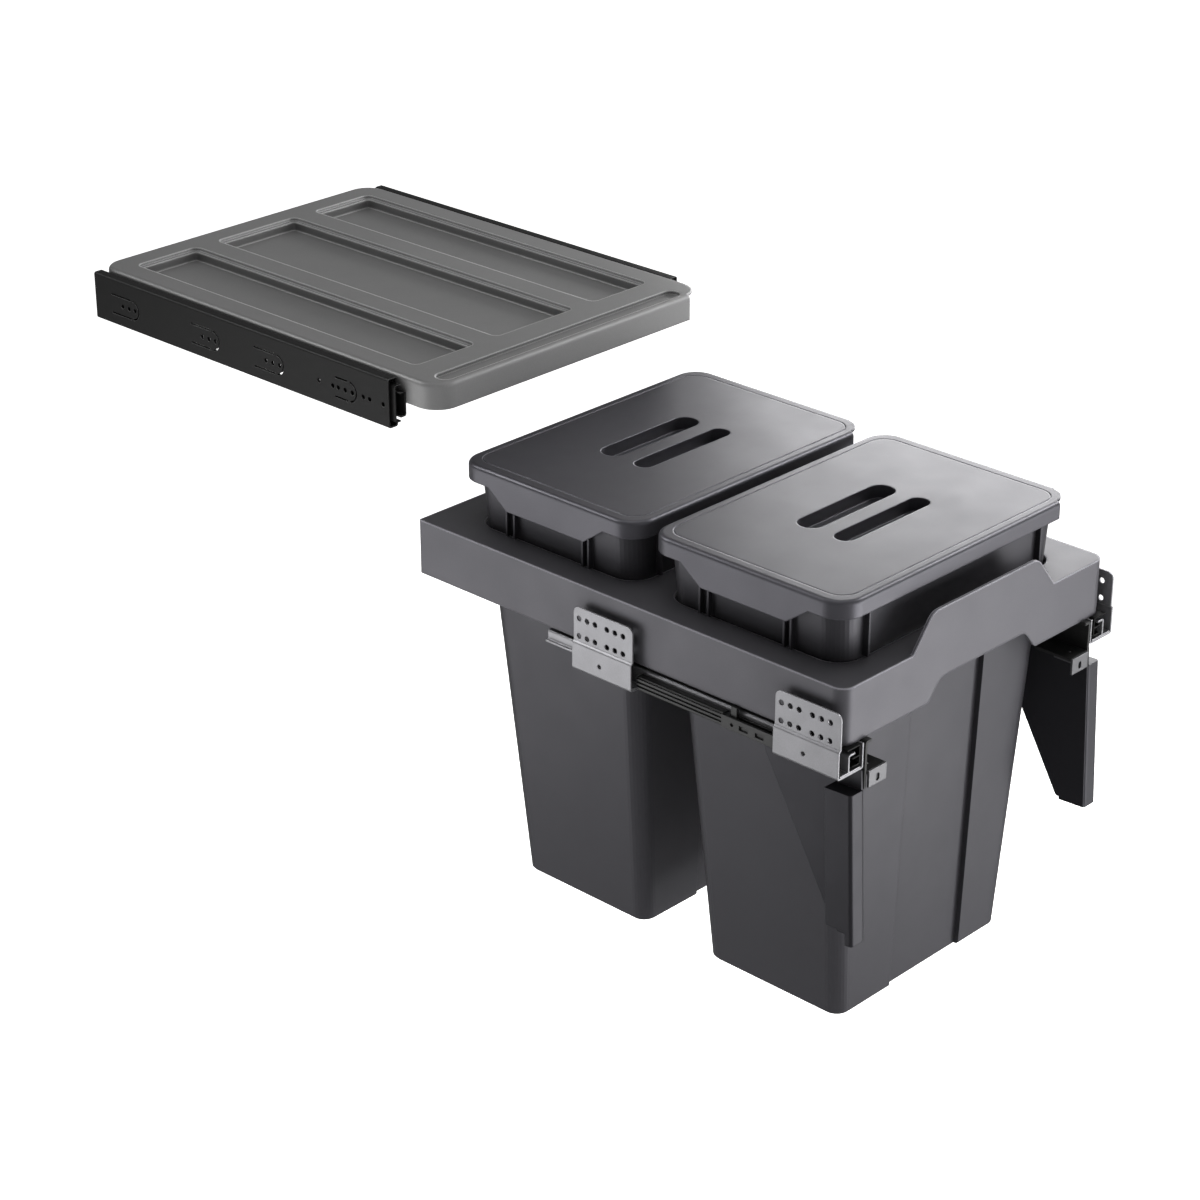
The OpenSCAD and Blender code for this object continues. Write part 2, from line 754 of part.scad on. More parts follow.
module rail_screws() {
    color(bright_steel) both_sides() rail_screw_places()
        translate([0, 0, -slim_t]) screw_up(slim_t + ledge_t);
}

// Soft close: a housing on the cabinet rail and a hook on the drawer rail
module soft_close_left() {
    z0 = cradle_floor_z + 0.5;
    z1 = z0 + damper_h;
    catch_y1 = damper_y0 + catch_len;
    color(black_plastic) difference() {
        union() {
            along_y(catch_y1 - cut_over, damper_y1) {
                span(damper_x0 + ridge_d, rail_x0, z0, z1);
                for (share = ridge_shares)
                    span(damper_x0, rail_x0, z0 + share * damper_h, z0 + (share + ridge_share) * damper_h);
            }
            along_y(damper_y0, catch_y1) span(damper_x0, rail_x0, z0, z1 - 1);
        }
        along_y(damper_y0 - cut_over, hook_y0 + hook_len + 2 * hook_gap)
            span(groove_x - catch_groove_w / 2, groove_x + catch_groove_w / 2,
                z1 - catch_groove_d, z1 + cut_over);
        for (share = [0.2, 0.5]) along_x(damper_x0 - cut_over, damper_x0 + ridge_d)
            span(damper_y0 + share * catch_len, damper_y0 + (share + ridge_share) * catch_len,
                z0 + 0.25 * damper_h, z0 + 0.58 * damper_h);
        translate([damper_x0 - cut_over, damper_y0 + 0.8 * catch_len, z0 + 0.42 * damper_h])
            rotate([0, 90, 0]) cylinder(r = screw_r, h = cut_over + ridge_d);
    }
}
module soft_close_right() at_right() soft_close_left();

module catch_hook_left() {
    hook_x0 = groove_x - catch_groove_w / 2 + hook_gap;
    hook_x1 = groove_x + catch_groove_w / 2 - hook_gap;
    tip_z = cradle_floor_z + 0.5 + damper_h - catch_groove_d + hook_gap;
    color(black_plastic) along_y(hook_y0, hook_y0 + hook_len) {
        span(hook_x0, hook_x1, tip_z, drawer_flange_z);
        span(hook_x0, drawer_flange_x0 + 4, drawer_flange_z - hook_arm_t, drawer_flange_z);
    }
}
module catch_hook_right() at_right() catch_hook_left();

// Bin frame
module front_outline() {
    x0 = frame_x0 + frame_front_r;
    x1 = frame_x1 - frame_front_r;
    am = mid_x + arch_shift;
    at = arch_top_w / 2;
    ct = cut_top_w / 2;
    polygon(bent(
        [[x0, frame_bottom_z], [am - ct - cut_slope, frame_bottom_z],
         [am - ct, frame_bottom_z + cut_h], [am + ct, frame_bottom_z + cut_h],
         [am + ct + cut_slope, frame_bottom_z], [x1, frame_bottom_z], [x1, deck_z],
         [am + at + arch_slope, deck_z], [am + at, deck_z + arch_h],
         [am - at, deck_z + arch_h], [am - at - arch_slope, deck_z], [x0, deck_z]],
        [0, arch_r / 3, arch_r, arch_r, arch_r / 3, 0, 0, 0, arch_r, arch_r, 0, 0]
    ));
}

module frame_area(inset) {
    rounded_area(frame_x0 + inset, frame_x1 - inset, frame_y0 + inset, frame_y1 - inset,
        max(frame_front_r - inset, 0.5), max(frame_rear_r - inset, 0.5));
}

module opening_area() {
    rounded_area(opening_x0, opening_x1, opening_y0, opening_y1, opening_r, opening_r);
}

module bin_frame() {
    ledge_z = frame_bottom_z + ledge_t;
    inner_x = frame_x0 + frame_t;
    ledge_x1 = inner_x + ledge_w;
    rib_x1 = opening_x0 - 1;
    rib_y0 = frame_y0 + frame_t + rib_margin;
    rib_step = (frame_d - 2 * frame_t - 2 * rib_margin - rib_t) / (rib_count - 1);
    color(anthracite) difference() {
        union() {
            difference() {
                along_z(frame_bottom_z, deck_z) frame_area(0);
                along_z(frame_bottom_z - cut_over, deck_z - frame_t) frame_area(frame_t);
                translate([0, 0, -cut_over]) along_y(frame_y0 - cut_over, frame_y0 + frame_front_r)
                    span(frame_x0 + frame_front_r, frame_x1 - frame_front_r,
                        frame_bottom_z, deck_z - frame_t + cut_over);
            }
            along_y(frame_y0, frame_y0 + frame_t) front_outline();
            both_sides() {
                along_z(frame_bottom_z, ledge_z)
                    span(inner_x - cut_over, ledge_x1, frame_y0 + frame_front_r, frame_y1 - frame_t);
                for (i = [0 : rib_count - 1])
                    along_y(rib_y0 + i * rib_step, rib_y0 + i * rib_step + rib_t)
                        span(inner_x - cut_over, rib_x1, ledge_z - cut_over, deck_z - frame_t + cut_over);
                along_z(frame_bottom_z, frame_bottom_z + pad_t)
                    span(arm_x0 - 0.5, arm_x0 + arm_flange_w, frame_y0 + frame_t / 2, arm_y1 + pad_tail);
                along_y(frame_y0 + frame_t / 2, arm_y1 + pad_tail)
                    span(arm_x0 + arm_flange_w - rib_t, arm_x0 + arm_flange_w - 0.5,
                        frame_bottom_z, deck_z - frame_t + cut_over);
            }
        }
        for (y = [0, bin_pitch]) translate([0, y, 0])
            along_z(deck_z - frame_t - cut_over, deck_z + cut_over) opening_area();
        both_sides() {
            rail_screw_places() cylinder(r = screw_r + shank_gap, h = 4 * ledge_t, center = true);
            arm_screw_places() cylinder(r = screw_r + shank_gap, h = 3 * pad_t, center = true);
        }
    }
}

// Door arms
module arm_screw_places() {
    x = arm_x0 + arm_t + arm_fold_r + screw_head_r;
    for (share = arm_screw_shares)
        translate([x, arm_y0 + share * arm_len, frame_bottom_z]) children();
}

function wing_screw(share) =
    [arm_x0, arm_y0 + share * arm_len, (wing_top_z + arm_bottom_z) / 2];

module wing_screw_places() {
    for (share = wing_screw_shares) translate(wing_screw(share)) children();
}

module door_arm_left() {
    color(black_steel) difference() {
        union() {
            along_y(arm_y0, arm_y1) polygon(folded(
                [[arm_x0 + arm_flange_w, frame_bottom_z], [arm_x0, frame_bottom_z], [arm_x0, arm_bottom_z]],
                arm_t,
                arm_fold_r
            ));
            along_y(arm_y0, arm_y0 + arm_shelf_len)
                span(arm_x0 + arm_t / 2, arm_x0 + arm_t + arm_shelf_w, arm_shelf_z - arm_t, arm_shelf_z);
        }
        arm_screw_places() cylinder(r = screw_r + shank_gap, h = 4 * arm_t, center = true);
        wing_screw_places() rotate([0, 90, 0])
            cylinder(r = screw_r + shank_gap, h = 4 * arm_t, center = true);
        tab_screw_place() cylinder(r = screw_r + shank_gap, h = 4 * arm_t, center = true);
    }
}
module door_arm_right() at_right() door_arm_left();

module tab_screw_place() {
    translate([arm_x0 + arm_t + arm_shelf_w / 2, arm_y0 + slot_tab_foot / 2, arm_shelf_z - arm_t]) children();
}

module slotted_tab_left() {
    x0 = arm_x0 + arm_t + 1;
    x1 = arm_x0 + arm_t + arm_shelf_w;
    color(zinc) difference() {
        union() {
            along_y(arm_y0 - tab_t, arm_y0) span(x0, x1, arm_shelf_z - slot_tab_h, arm_shelf_z);
            along_y(arm_y0 - tab_t, arm_y0 + slot_tab_foot)
                span(x0 + 1, x1 - 1, arm_shelf_z - arm_t - tab_t, arm_shelf_z - arm_t);
        }
        translate([(x0 + x1) / 2, 0, arm_shelf_z - slot_tab_h / 2 - slot_shift])
            along_y(arm_y0 - 2 * tab_t, arm_y0) obround(-slot_r, slot_r, -slot_len / 2, slot_len / 2);
        tab_screw_place() cylinder(r = screw_r + shank_gap, h = 4 * arm_t, center = true);
    }
}
module slotted_tab_right() at_right() slotted_tab_left();

// A wing hangs on the outside of each arm: a hollow front strip and a tapering side plate
module door_wing_left() {
    x0 = arm_x0 - wing_w;
    box_y1 = arm_y0 + wing_box_d;
    pivot = wing_screw(wing_screw_shares[0]);
    color(anthracite_light) difference() {
        translate(pivot) rotate([-wing_lean, 0, 0]) translate(-pivot) difference() {
            union() {
                along_z(wing_bottom_z, wing_strip_z)
                    rounded_area(x0, arm_x0, arm_y0, box_y1, wing_edge_r, 0.5);
                along_x(arm_x0 - wing_t, arm_x0) polygon(bent(
                    [[arm_y0 + 1, wing_top_z], [arm_y1 - 1, wing_top_z],
                     [arm_y1 - 1, wing_top_z - wing_plate_rise], [arm_y0 + wing_foot_y, wing_bottom_z + 3],
                     [arm_y0 + 6, wing_bottom_z], [arm_y0 + 1, wing_bottom_z]],
                    [2, 2, 3, 4, 2, 0]
                ));
            }
            translate([0, 0, -wing_t]) along_z(wing_bottom_z - cut_over, wing_strip_z)
                rounded_area(x0 + wing_t, arm_x0 - wing_t, arm_y0 + wing_t, box_y1 - wing_t, 1, 0.5);
            along_z(wing_bottom_z - cut_over, wing_bottom_z + wing_notch_h)
                span(x0 - cut_over, arm_x0 - wing_t, arm_y0 + wing_lip_d, box_y1 + cut_over);
        }
        wing_screw_places() rotate([0, 90, 0])
            cylinder(r = screw_r + shank_gap, h = 4 * wing_t, center = true);
    }
}
module door_wing_right() at_right() door_wing_left();

module arm_screws() {
    color(bright_steel) both_sides() {
        arm_screw_places() translate([0, 0, -arm_t]) screw_up(arm_t + pad_t);
        wing_screw_places() translate([arm_t, 0, 0]) rotate([0, -90, 0]) screw_up(arm_t + wing_t);
        tab_screw_place() translate([0, 0, -tab_t]) screw_up(arm_t + tab_t);
    }
}

// Bins: tapered shells with a recess down the front and fins that stand on the deck
module bin_slab(z, w, y0, y1, r, inset) {
    x0 = mid_x - w / 2 + inset;
    x1 = mid_x + w / 2 - inset;
    corner_r = max(r - inset, 1);
    along_z(z, z + skin) rounded_area(x0, x1, y0 + inset, y1 - inset, corner_r, corner_r, $fn = 32);
}

module bin_body(inset, floor_z, top_z) {
    hull() {
        bin_slab(floor_z, bin_bottom_w, bottom_y0, bottom_y1, bin_bottom_r, inset + foot_chamfer);
        bin_slab(floor_z + foot_chamfer, bin_bottom_w, bottom_y0, bottom_y1, bin_bottom_r, inset);
        bin_slab(top_z, rim_out_w, rim_y0, rim_y1, bin_r, inset);
    }
}

module recess_prism(grow) {
    z0 = bin_bottom_z - 10 * cut_over;
    z1 = deck_z - recess_top_drop;
    z2 = z1 + recess_run_out;
    y_out = bin_y0 - bin_t - recess_d - grow;
    y_low = bin_y0 + front_slope * (deck_z - z0) + recess_d + grow;
    y_high = bin_y0 + front_slope * (deck_z - z1) + recess_d + grow;
    x_mid = mid_x + recess_shift;
    along_x(x_mid - recess_w / 2 - grow, x_mid + recess_w / 2 + grow)
        polygon([[y_out, z0], [y_low, z0], [y_high, z1], [y_high - recess_d - grow, z2], [y_out, z2]]);
}

module bin_fins() {
    wall_x = mid_x - bin_w / 2;
    top = rim_z - rim_t + cut_over / 2;
    both_sides() for (y = fin_y)
        along_y(y - fin_t / 2, y + fin_t / 2) span(wall_x - fin_reach, wall_x + bin_t, deck_z, top);
    both_sides() for (y = [bin_y0 - fin_reach, bin_y1 - bin_t])
        along_x(wall_x + fin_inset, wall_x + fin_inset + fin_t) span(y, y + fin_reach + bin_t, deck_z, top);
}

module bin_shape() {
    color(anthracite) difference() {
        union() {
            difference() {
                bin_body(0, bin_bottom_z, rim_z - skin);
                recess_prism(0);
            }
            bin_fins();
            along_z(rim_z - rim_t, rim_z)
                rounded_area(mid_x - rim_out_w / 2 - rim_w, mid_x + rim_out_w / 2 + rim_w,
                    rim_y0 - rim_w, rim_y1 + rim_w, bin_r, bin_r);
        }
        difference() {
            bin_body(bin_t, bin_bottom_z + bin_t, rim_z + cut_over);
            recess_prism(bin_t);
        }
    }
}
module front_bin() bin_shape();
module rear_bin() translate([0, bin_pitch, 0]) bin_shape();

// Bin lids
module finger_areas(grow) {
    x0 = mid_x - finger_len / 2 - grow;
    x1 = mid_x + finger_len / 2 + grow;
    front_y = finger_mid_y - finger_bridge / 2;
    rear_y = finger_mid_y + finger_bridge / 2;
    obround(x0, x1, front_y - finger_front_w - grow, front_y + grow);
    obround(x0, x1, rear_y - grow, rear_y + finger_rear_w + grow);
}

module lid_shape() {
    x0 = mid_x - lid_w / 2;
    x1 = mid_x + lid_w / 2;
    y0 = lid_y0;
    y1 = lid_y1;
    tab_z1 = lid_bottom_z + lid_t;
    tab_mid = (y0 + y1) / 2;
    color(anthracite) difference() {
        union() {
            around(x0, x1, y0, y1, lid_r)
                lid_edge(lid_r - 1, lid_t, lid_edge_r, lid_bottom_z, lid_top_z);
            along_z(lid_top_z - lid_t, lid_top_z)
                rounded_area(x0 + lid_edge_r, x1 - lid_edge_r, y0 + lid_edge_r, y1 - lid_edge_r,
                    lid_r - lid_edge_r, lid_r - lid_edge_r);
            along_z(lid_top_z - finger_depth - lid_t, lid_top_z - lid_t / 2) finger_areas(lid_t);
            both_sides() along_x(x0, x0 + lid_t) polygon(bent(
                [[tab_mid - tab_len / 2, tab_z1], [tab_mid - tab_len / 2, lid_bottom_z],
                 [tab_mid - tab_bottom_len / 2, lid_bottom_z - tab_h],
                 [tab_mid + tab_bottom_len / 2, lid_bottom_z - tab_h],
                 [tab_mid + tab_len / 2, lid_bottom_z], [tab_mid + tab_len / 2, tab_z1]],
                [0, 3, 4, 4, 3, 0]
            ));
        }
        along_z(lid_top_z - finger_depth, lid_top_z + cut_over) finger_areas(0);
        along_z(lid_top_z - line_d, lid_top_z + cut_over) difference() {
            lid_panel_area(lid_border - line_w);
            lid_panel_area(lid_border);
        }
    }
}

module lid_panel_area(inset) {
    x0 = mid_x - lid_w / 2 + inset + 2;
    x1 = mid_x + lid_w / 2 - inset - 2;
    r = lid_r - inset + 4;
    rounded_area(x0, x1, lid_y0 + inset, lid_y1 - inset, r, r);
}
module front_bin_lid() lid_shape();
module rear_bin_lid() translate([0, bin_pitch, 0]) lid_shape();

// Shelf lid: a tray with three bays and a long groove along its front
module bay_areas(grow) {
    y0 = shelf_y0 + bay_front_rim - grow;
    y1 = shelf_y1 - bay_rear_rim + grow;
    m0 = mid_x - bay_middle_w / 2;
    m1 = mid_x + bay_middle_w / 2;
    r = bay_r + grow;
    rounded_area(m0 - grow, m1 + grow, y0, y1, r, r);
    rounded_area(shelf_x0 + bay_side_rim - grow, m0 - bay_rib + grow, y0, y1, r, r);
    rounded_area(m1 + bay_rib - grow, shelf_x1 - bay_side_rim + grow, y0, y1, r, r);
}

module front_groove_area(grow) {
    y0 = shelf_y0 + groove_front_gap;
    obround(groove_x0 - grow, groove_x1 + grow, y0 - grow, y0 + groove_w + grow);
}

module shelf_lid() {
    color(anthracite_light) difference() {
        union() {
            around(shelf_x0, shelf_x1, shelf_y0, shelf_y1, shelf_r)
                lid_edge(shelf_r - 1, shelf_t, shelf_edge_r, shelf_bottom_z, shelf_top_z);
            along_z(shelf_top_z - shelf_t, shelf_top_z)
                rounded_area(shelf_x0 + shelf_edge_r, shelf_x1 - shelf_edge_r,
                    shelf_y0 + shelf_edge_r, shelf_y1 - shelf_edge_r,
                    shelf_r - shelf_edge_r, shelf_r - shelf_edge_r);
            along_z(shelf_top_z - bay_step_d - shelf_t, shelf_top_z - shelf_t / 2) bay_areas(shelf_t);
            along_z(shelf_top_z - bay_depth - shelf_t, shelf_top_z - bay_step_d - shelf_t / 2)
                bay_areas(shelf_t - bay_step_w);
            along_z(shelf_top_z - groove_depth - shelf_t, shelf_top_z - shelf_t / 2)
                front_groove_area(1);
        }
        along_z(shelf_top_z - bay_step_d, shelf_top_z + cut_over) bay_areas(0);
        along_z(shelf_top_z - bay_depth, shelf_top_z) bay_areas(-bay_step_w);
        along_z(shelf_top_z - groove_depth, shelf_top_z + cut_over) front_groove_area(0);
        translate([groove_x1 - groove_w / 2, shelf_y0 + groove_front_gap + groove_w / 2,
            shelf_top_z - dimple_depth + dimple_r]) sphere(r = dimple_r);
        both_sides() shelf_screw_places() rotate([0, 90, 0])
            cylinder(r = screw_r + shank_gap, h = 4 * shelf_t, center = true);
    }
}

// Shelf slides
module slide_channel(x0, x1, height, lip, y0, y1) {
    lo = slide_mid_z - height / 2;
    hi = slide_mid_z + height / 2;
    outer = [[x1, hi], [x0, hi], [x0, lo], [x1, lo]];
    along_y(y0, y1) polygon(folded(
        lip > 0 ? concat([[x1, hi - lip]], outer, [[x1, lo + lip]]) : outer,
        slide_sheet
    ));
}

// A tongue cut from the sheet: two long slots joined by a round front end
module lance(front_y, length, gap) {
    slot = 1.6;
    difference() {
        obround(front_y, front_y + 2 * length, -gap / 2 - slot / 2, gap / 2 + slot / 2);
        obround(front_y + slot, front_y + 2 * length, -gap / 2 + slot / 2, gap / 2 - slot / 2);
        span(front_y + length, front_y + 3 * length, -gap, gap);
        span(front_y + 9, front_y + 12, -gap, gap);
    }
}

module shelf_outer_rail_left() {
    color(black_steel) difference() {
        slide_channel(side_x, side_x + outer_reach, slide_h, outer_lip, slide_y0, slide_y0 + slide_len);
        translate([side_x - cut_over, slide_y0, slide_mid_z - 2]) rotate([90, 0, 90])
            linear_extrude(slide_sheet + 2 * cut_over) {
                for (i = [0 : 3]) {
                    lance(lance_y[i], lance_len[i], lance_gap);
                    for (y = lance_hole_y) translate([lance_y[i] + y, 0]) circle(r = slide_hole_r);
                }
                for (y = lone_hole_y) translate([y, 0]) circle(r = slide_hole_r);
            }
    }
}
module shelf_outer_rail_right() at_right() shelf_outer_rail_left();

module shelf_middle_rail_left() {
    y0 = slide_y0 - middle_ahead;
    color(black_steel)
        slide_channel(shelf_middle_x0, shelf_middle_x1, shelf_middle_h, 0, y0, y0 + slide_len - 10);
}
module shelf_middle_rail_right() at_right() shelf_middle_rail_left();

module shelf_inner_rail_left() {
    y0 = slide_y0 - inner_ahead;
    color(black_steel) difference() {
        translate([shelf_inner_x0 + shelf_inner_x1, 0, 0]) mirror([1, 0, 0])
            slide_channel(shelf_inner_x0, shelf_inner_x1, shelf_inner_h, 0, y0, y0 + slide_len);
        shelf_screw_places() rotate([0, 90, 0])
            cylinder(r = screw_r + shank_gap, h = 4 * slide_sheet, center = true);
    }
}
module shelf_inner_rail_right() at_right() shelf_inner_rail_left();

module shelf_screw_places() {
    for (share = shelf_screw_shares)
        translate([shelf_x0, slide_y0 + share * slide_len, shelf_bottom_z + shelf_screw_rise]) children();
}

module shelf_screws() {
    color(bright_steel) both_sides() shelf_screw_places()
        translate([-slide_sheet, 0, 0]) rotate([0, 90, 0]) screw_up(slide_sheet + shelf_t);
}

// Ball cages: a strip with an arm over each row, and the balls in its holes
module ball_rows(x, offset) {
    step = cage_len / ball_count;
    for (side = [-1, 1], i = [0 : ball_count - 1])
        translate([x, cage_y0 + (i + 0.5) * step, slide_mid_z + side * offset]) children();
}

module ball_cage(web_x, arm_x1, ball_x, offset) {
    color(bright_steel) {
        difference() {
            along_y(cage_y0, cage_y0 + cage_len) {
                span(web_x, web_x + cage_t, slide_mid_z - offset, slide_mid_z + offset);
                for (side = [-1, 1]) translate([web_x, slide_mid_z + side * offset - cage_t / 2])
                    square([arm_x1 - web_x, cage_t]);
            }
            ball_rows(ball_x, offset) cylinder(r = ball_d / 2 + ball_gap, h = 4 * cage_t, center = true);
        }
        ball_rows(ball_x, offset) sphere(r = ball_d / 2);
    }
}

module shelf_outer_balls_left() {
    web_x = side_x + slide_sheet + 0.5;
    lip_x = side_x + outer_reach - slide_sheet;
    ball_cage(web_x, lip_x - 0.3, (web_x + cage_t + lip_x) / 2, shelf_middle_h / 2 + track / 2);
}
module shelf_outer_balls_right() at_right() shelf_outer_balls_left();

module shelf_inner_balls_left() {
    web_x = shelf_middle_x0 + slide_sheet + 0.4;
    arm_x1 = shelf_inner_x1 - slide_sheet - 0.4;
    ball_cage(web_x, arm_x1, (web_x + cage_t + shelf_middle_x1) / 2, shelf_inner_h / 2 + track / 2);
}
module shelf_inner_balls_right() at_right() shelf_inner_balls_left();

bracket_front_left();
bracket_front_right();
bracket_rear_left();
bracket_rear_right();
cabinet_rail_left();
cabinet_rail_right();
rail_rivets();
soft_close_left();
soft_close_right();
middle_rail_left();
middle_rail_right();
middle_glides_left();
middle_glides_right();
drawer_rail_left();
drawer_rail_right();
drawer_glides();
catch_hook_left();
catch_hook_right();
rail_screws();
bin_frame();
door_arm_left();
door_arm_right();
slotted_tab_left();
slotted_tab_right();
door_wing_left();
door_wing_right();
arm_screws();
front_bin();
rear_bin();
front_bin_lid();
rear_bin_lid();
shelf_lid();
shelf_outer_rail_left();
shelf_outer_rail_right();
shelf_middle_rail_left();
shelf_middle_rail_right();
shelf_inner_rail_left();
shelf_inner_rail_right();
shelf_outer_balls_left();
shelf_outer_balls_right();
shelf_inner_balls_left();
shelf_inner_balls_right();
shelf_screws();
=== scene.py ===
import json
import math

import bmesh
import bpy
from bpy.props import FloatProperty, FloatVectorProperty, PointerProperty
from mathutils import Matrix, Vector

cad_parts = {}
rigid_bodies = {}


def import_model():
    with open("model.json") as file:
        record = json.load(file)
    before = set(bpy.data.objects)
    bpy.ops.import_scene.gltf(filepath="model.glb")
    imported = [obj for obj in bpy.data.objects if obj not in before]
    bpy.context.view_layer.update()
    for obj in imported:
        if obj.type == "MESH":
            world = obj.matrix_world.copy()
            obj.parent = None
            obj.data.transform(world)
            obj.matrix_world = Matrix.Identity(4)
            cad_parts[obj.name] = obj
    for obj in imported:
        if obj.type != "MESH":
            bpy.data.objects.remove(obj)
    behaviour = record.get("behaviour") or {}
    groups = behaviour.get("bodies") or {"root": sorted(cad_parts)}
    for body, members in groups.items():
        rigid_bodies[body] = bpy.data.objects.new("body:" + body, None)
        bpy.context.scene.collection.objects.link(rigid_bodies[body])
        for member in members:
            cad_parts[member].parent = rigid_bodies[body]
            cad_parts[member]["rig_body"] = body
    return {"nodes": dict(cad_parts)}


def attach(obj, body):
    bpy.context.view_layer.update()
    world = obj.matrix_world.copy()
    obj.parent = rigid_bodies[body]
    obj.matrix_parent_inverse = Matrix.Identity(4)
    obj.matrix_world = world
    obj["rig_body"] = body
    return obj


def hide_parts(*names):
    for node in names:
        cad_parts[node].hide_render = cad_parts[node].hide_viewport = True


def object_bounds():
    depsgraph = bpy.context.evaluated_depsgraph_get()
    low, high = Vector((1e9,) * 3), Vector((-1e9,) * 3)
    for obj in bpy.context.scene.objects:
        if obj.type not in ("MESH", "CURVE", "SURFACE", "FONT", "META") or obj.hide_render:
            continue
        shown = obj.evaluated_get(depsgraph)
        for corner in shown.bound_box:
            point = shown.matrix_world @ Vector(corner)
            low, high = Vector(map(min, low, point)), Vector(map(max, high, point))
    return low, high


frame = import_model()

bl_info = {
    "name": "Pull-out waste bin",
    "version": (1, 0, 0),
    "blender": (4, 5, 0),
    "location": "View3D > Sidebar > Waste bin",
    "description": "Finishes, screws and studio of a pull-out waste bin with a shelf lid",
    "category": "Object",
}

NODES = frame["nodes"]
CAD_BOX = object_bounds()
MM = 0.001
SIDES = ("left", "right")

# The camera was fitted to the edges of the bin frame in a square picture
CAMERA_PLACE = (-1.64467, -1.34462, 1.10766)
CAMERA_TURN = math.radians(46.43)
CAMERA_DIP = math.radians(25.34)
CAMERA_LENS = 92.43
SENSOR_WIDTH = 36.0

# A screw's head from its seat to its domed top, in shares of its radius and height
HEAD_PROFILE = ((1.0, 0.0), (1.0, 0.5), (0.95, 0.72), (0.84, 0.89), (0.68, 1.0))
HEAD_SEGMENTS = 20
SHARP_ANGLE = math.radians(32.0)

# The cross recess: its reach in head radii, and its foot and floor as shares of mouth and height
RECESS_REACH = 0.55
RECESS_FOOT = 0.7
RECESS_FLOOR = 0.35

# The thread: mesh rows in one turn, its depth and its tip as shares of the shank's radius
ROWS_PER_TURN = 4
THREAD_DEPTH = 0.2
TIP_SHARE = 0.6

# Corners of a mesh that lie closer than this are one corner
WELD_GAP = 0.002 * MM

# How far the shade painted into corners reaches, and what share of the colour it leaves there
CORNER_REACH = 18.0 * MM
CORNER_SHADE = 0.55

# Sides of the round wall, and the rim lights' directions and distance from the middle
WALL_SIDES = 96
RIM_LIGHTS = (("back_rim_light", (-0.43, 0.62, 0.66)), ("side_rim_light", (0.66, -0.43, 0.62)))
RIM_DISTANCE = 1.7
WHITE = (1.0, 1.0, 1.0, 1.0)


def colour_setting(name, description, grey, tint=(1.0, 1.0, 1.0)):
    """A colour that starts as a grey with a slight tint."""
    return FloatVectorProperty(
        name=name, description=description, subtype="COLOR", size=3, min=0.0, max=1.0,
        default=tuple(grey * part for part in tint),
    )


def share_setting(name, description, default):
    """A number from 0 to 1."""
    return FloatProperty(
        name=name, description=description, subtype="FACTOR", min=0.0, max=1.0, default=default
    )


def length_setting(name, description, default, high=5.0):
    """A length in metres."""
    return FloatProperty(
        name=name, description=description, unit="LENGTH", min=0.0, max=high, default=default
    )


def brightness_setting(name, description, default):
    """A strength without a unit."""
    return FloatProperty(name=name, description=description, min=0.0, max=5.0, default=default)


def power_setting(name, description, default):
    """The power of a light in watts."""
    return FloatProperty(
        name=name, description=description, unit="POWER", min=0.0, max=1000.0, default=default
    )


class WASTEBIN_PG_plastics(bpy.types.PropertyGroup):
    """Colours and grain of the moulded parts"""

    frame_colour: colour_setting("Frame", "Colour of the frame", 0.062, (0.98, 0.96, 1.06))
    bin_colour: colour_setting("Bins", "Colour of the bins", 0.032, (0.98, 0.96, 1.07))
    lid_colour: colour_setting("Bin lids", "Colour of the bin lids", 0.042, (0.97, 0.95, 1.08))
    shelf_colour: colour_setting("Shelf lid", "Colour of the shelf lid", 0.168)
    wing_colour: colour_setting(
        "Door wings", "Colour of the door wings", 0.014, (0.97, 0.95, 1.08)
    )
    black_colour: colour_setting("Black plastic", "Colour of the soft-close housings", 0.022)
    glide_colour: colour_setting("Glides", "Colour of the glides", 0.25, (1.0, 0.99, 0.95))
    frame_roughness: share_setting("Frame roughness", "Roughness of the frame", 0.46)
    bin_roughness: share_setting("Bin roughness", "Roughness of the bins", 0.42)
    lid_roughness: share_setting("Lid roughness", "Roughness of the bin lids", 0.38)
    shelf_roughness: share_setting("Shelf roughness", "Roughness of the shelf lid", 0.44)
    black_roughness: share_setting("Black roughness", "Roughness of the black plastic", 0.38)
    glide_roughness: share_setting("Glide roughness", "Roughness of the glides", 0.40)
    grain_size: length_setting("Grain size", "Size of the spark-eroded grain", 0.7 * MM, 0.01)
    grain_depth: length_setting("Grain depth", "Depth of the spark-eroded grain", 0.02 * MM, 0.001)
    edge_radius: length_setting(
        "Edge radius", "Radius that softens the moulded edges", 0.7 * MM, 0.005
    )
    lid_edge_radius: length_setting(
        "Lid edge", "Radius that softens the lids' edges", 1.5 * MM, 0.005
    )
    frame_edge_radius: length_setting(
        "Frame edge", "Radius that softens the frame's edges", 3.0 * MM, 0.005
    )
    shelf_edge_radius: length_setting(
        "Shelf edge", "Radius that softens the shelf's edges", 3.0 * MM, 0.005
    )


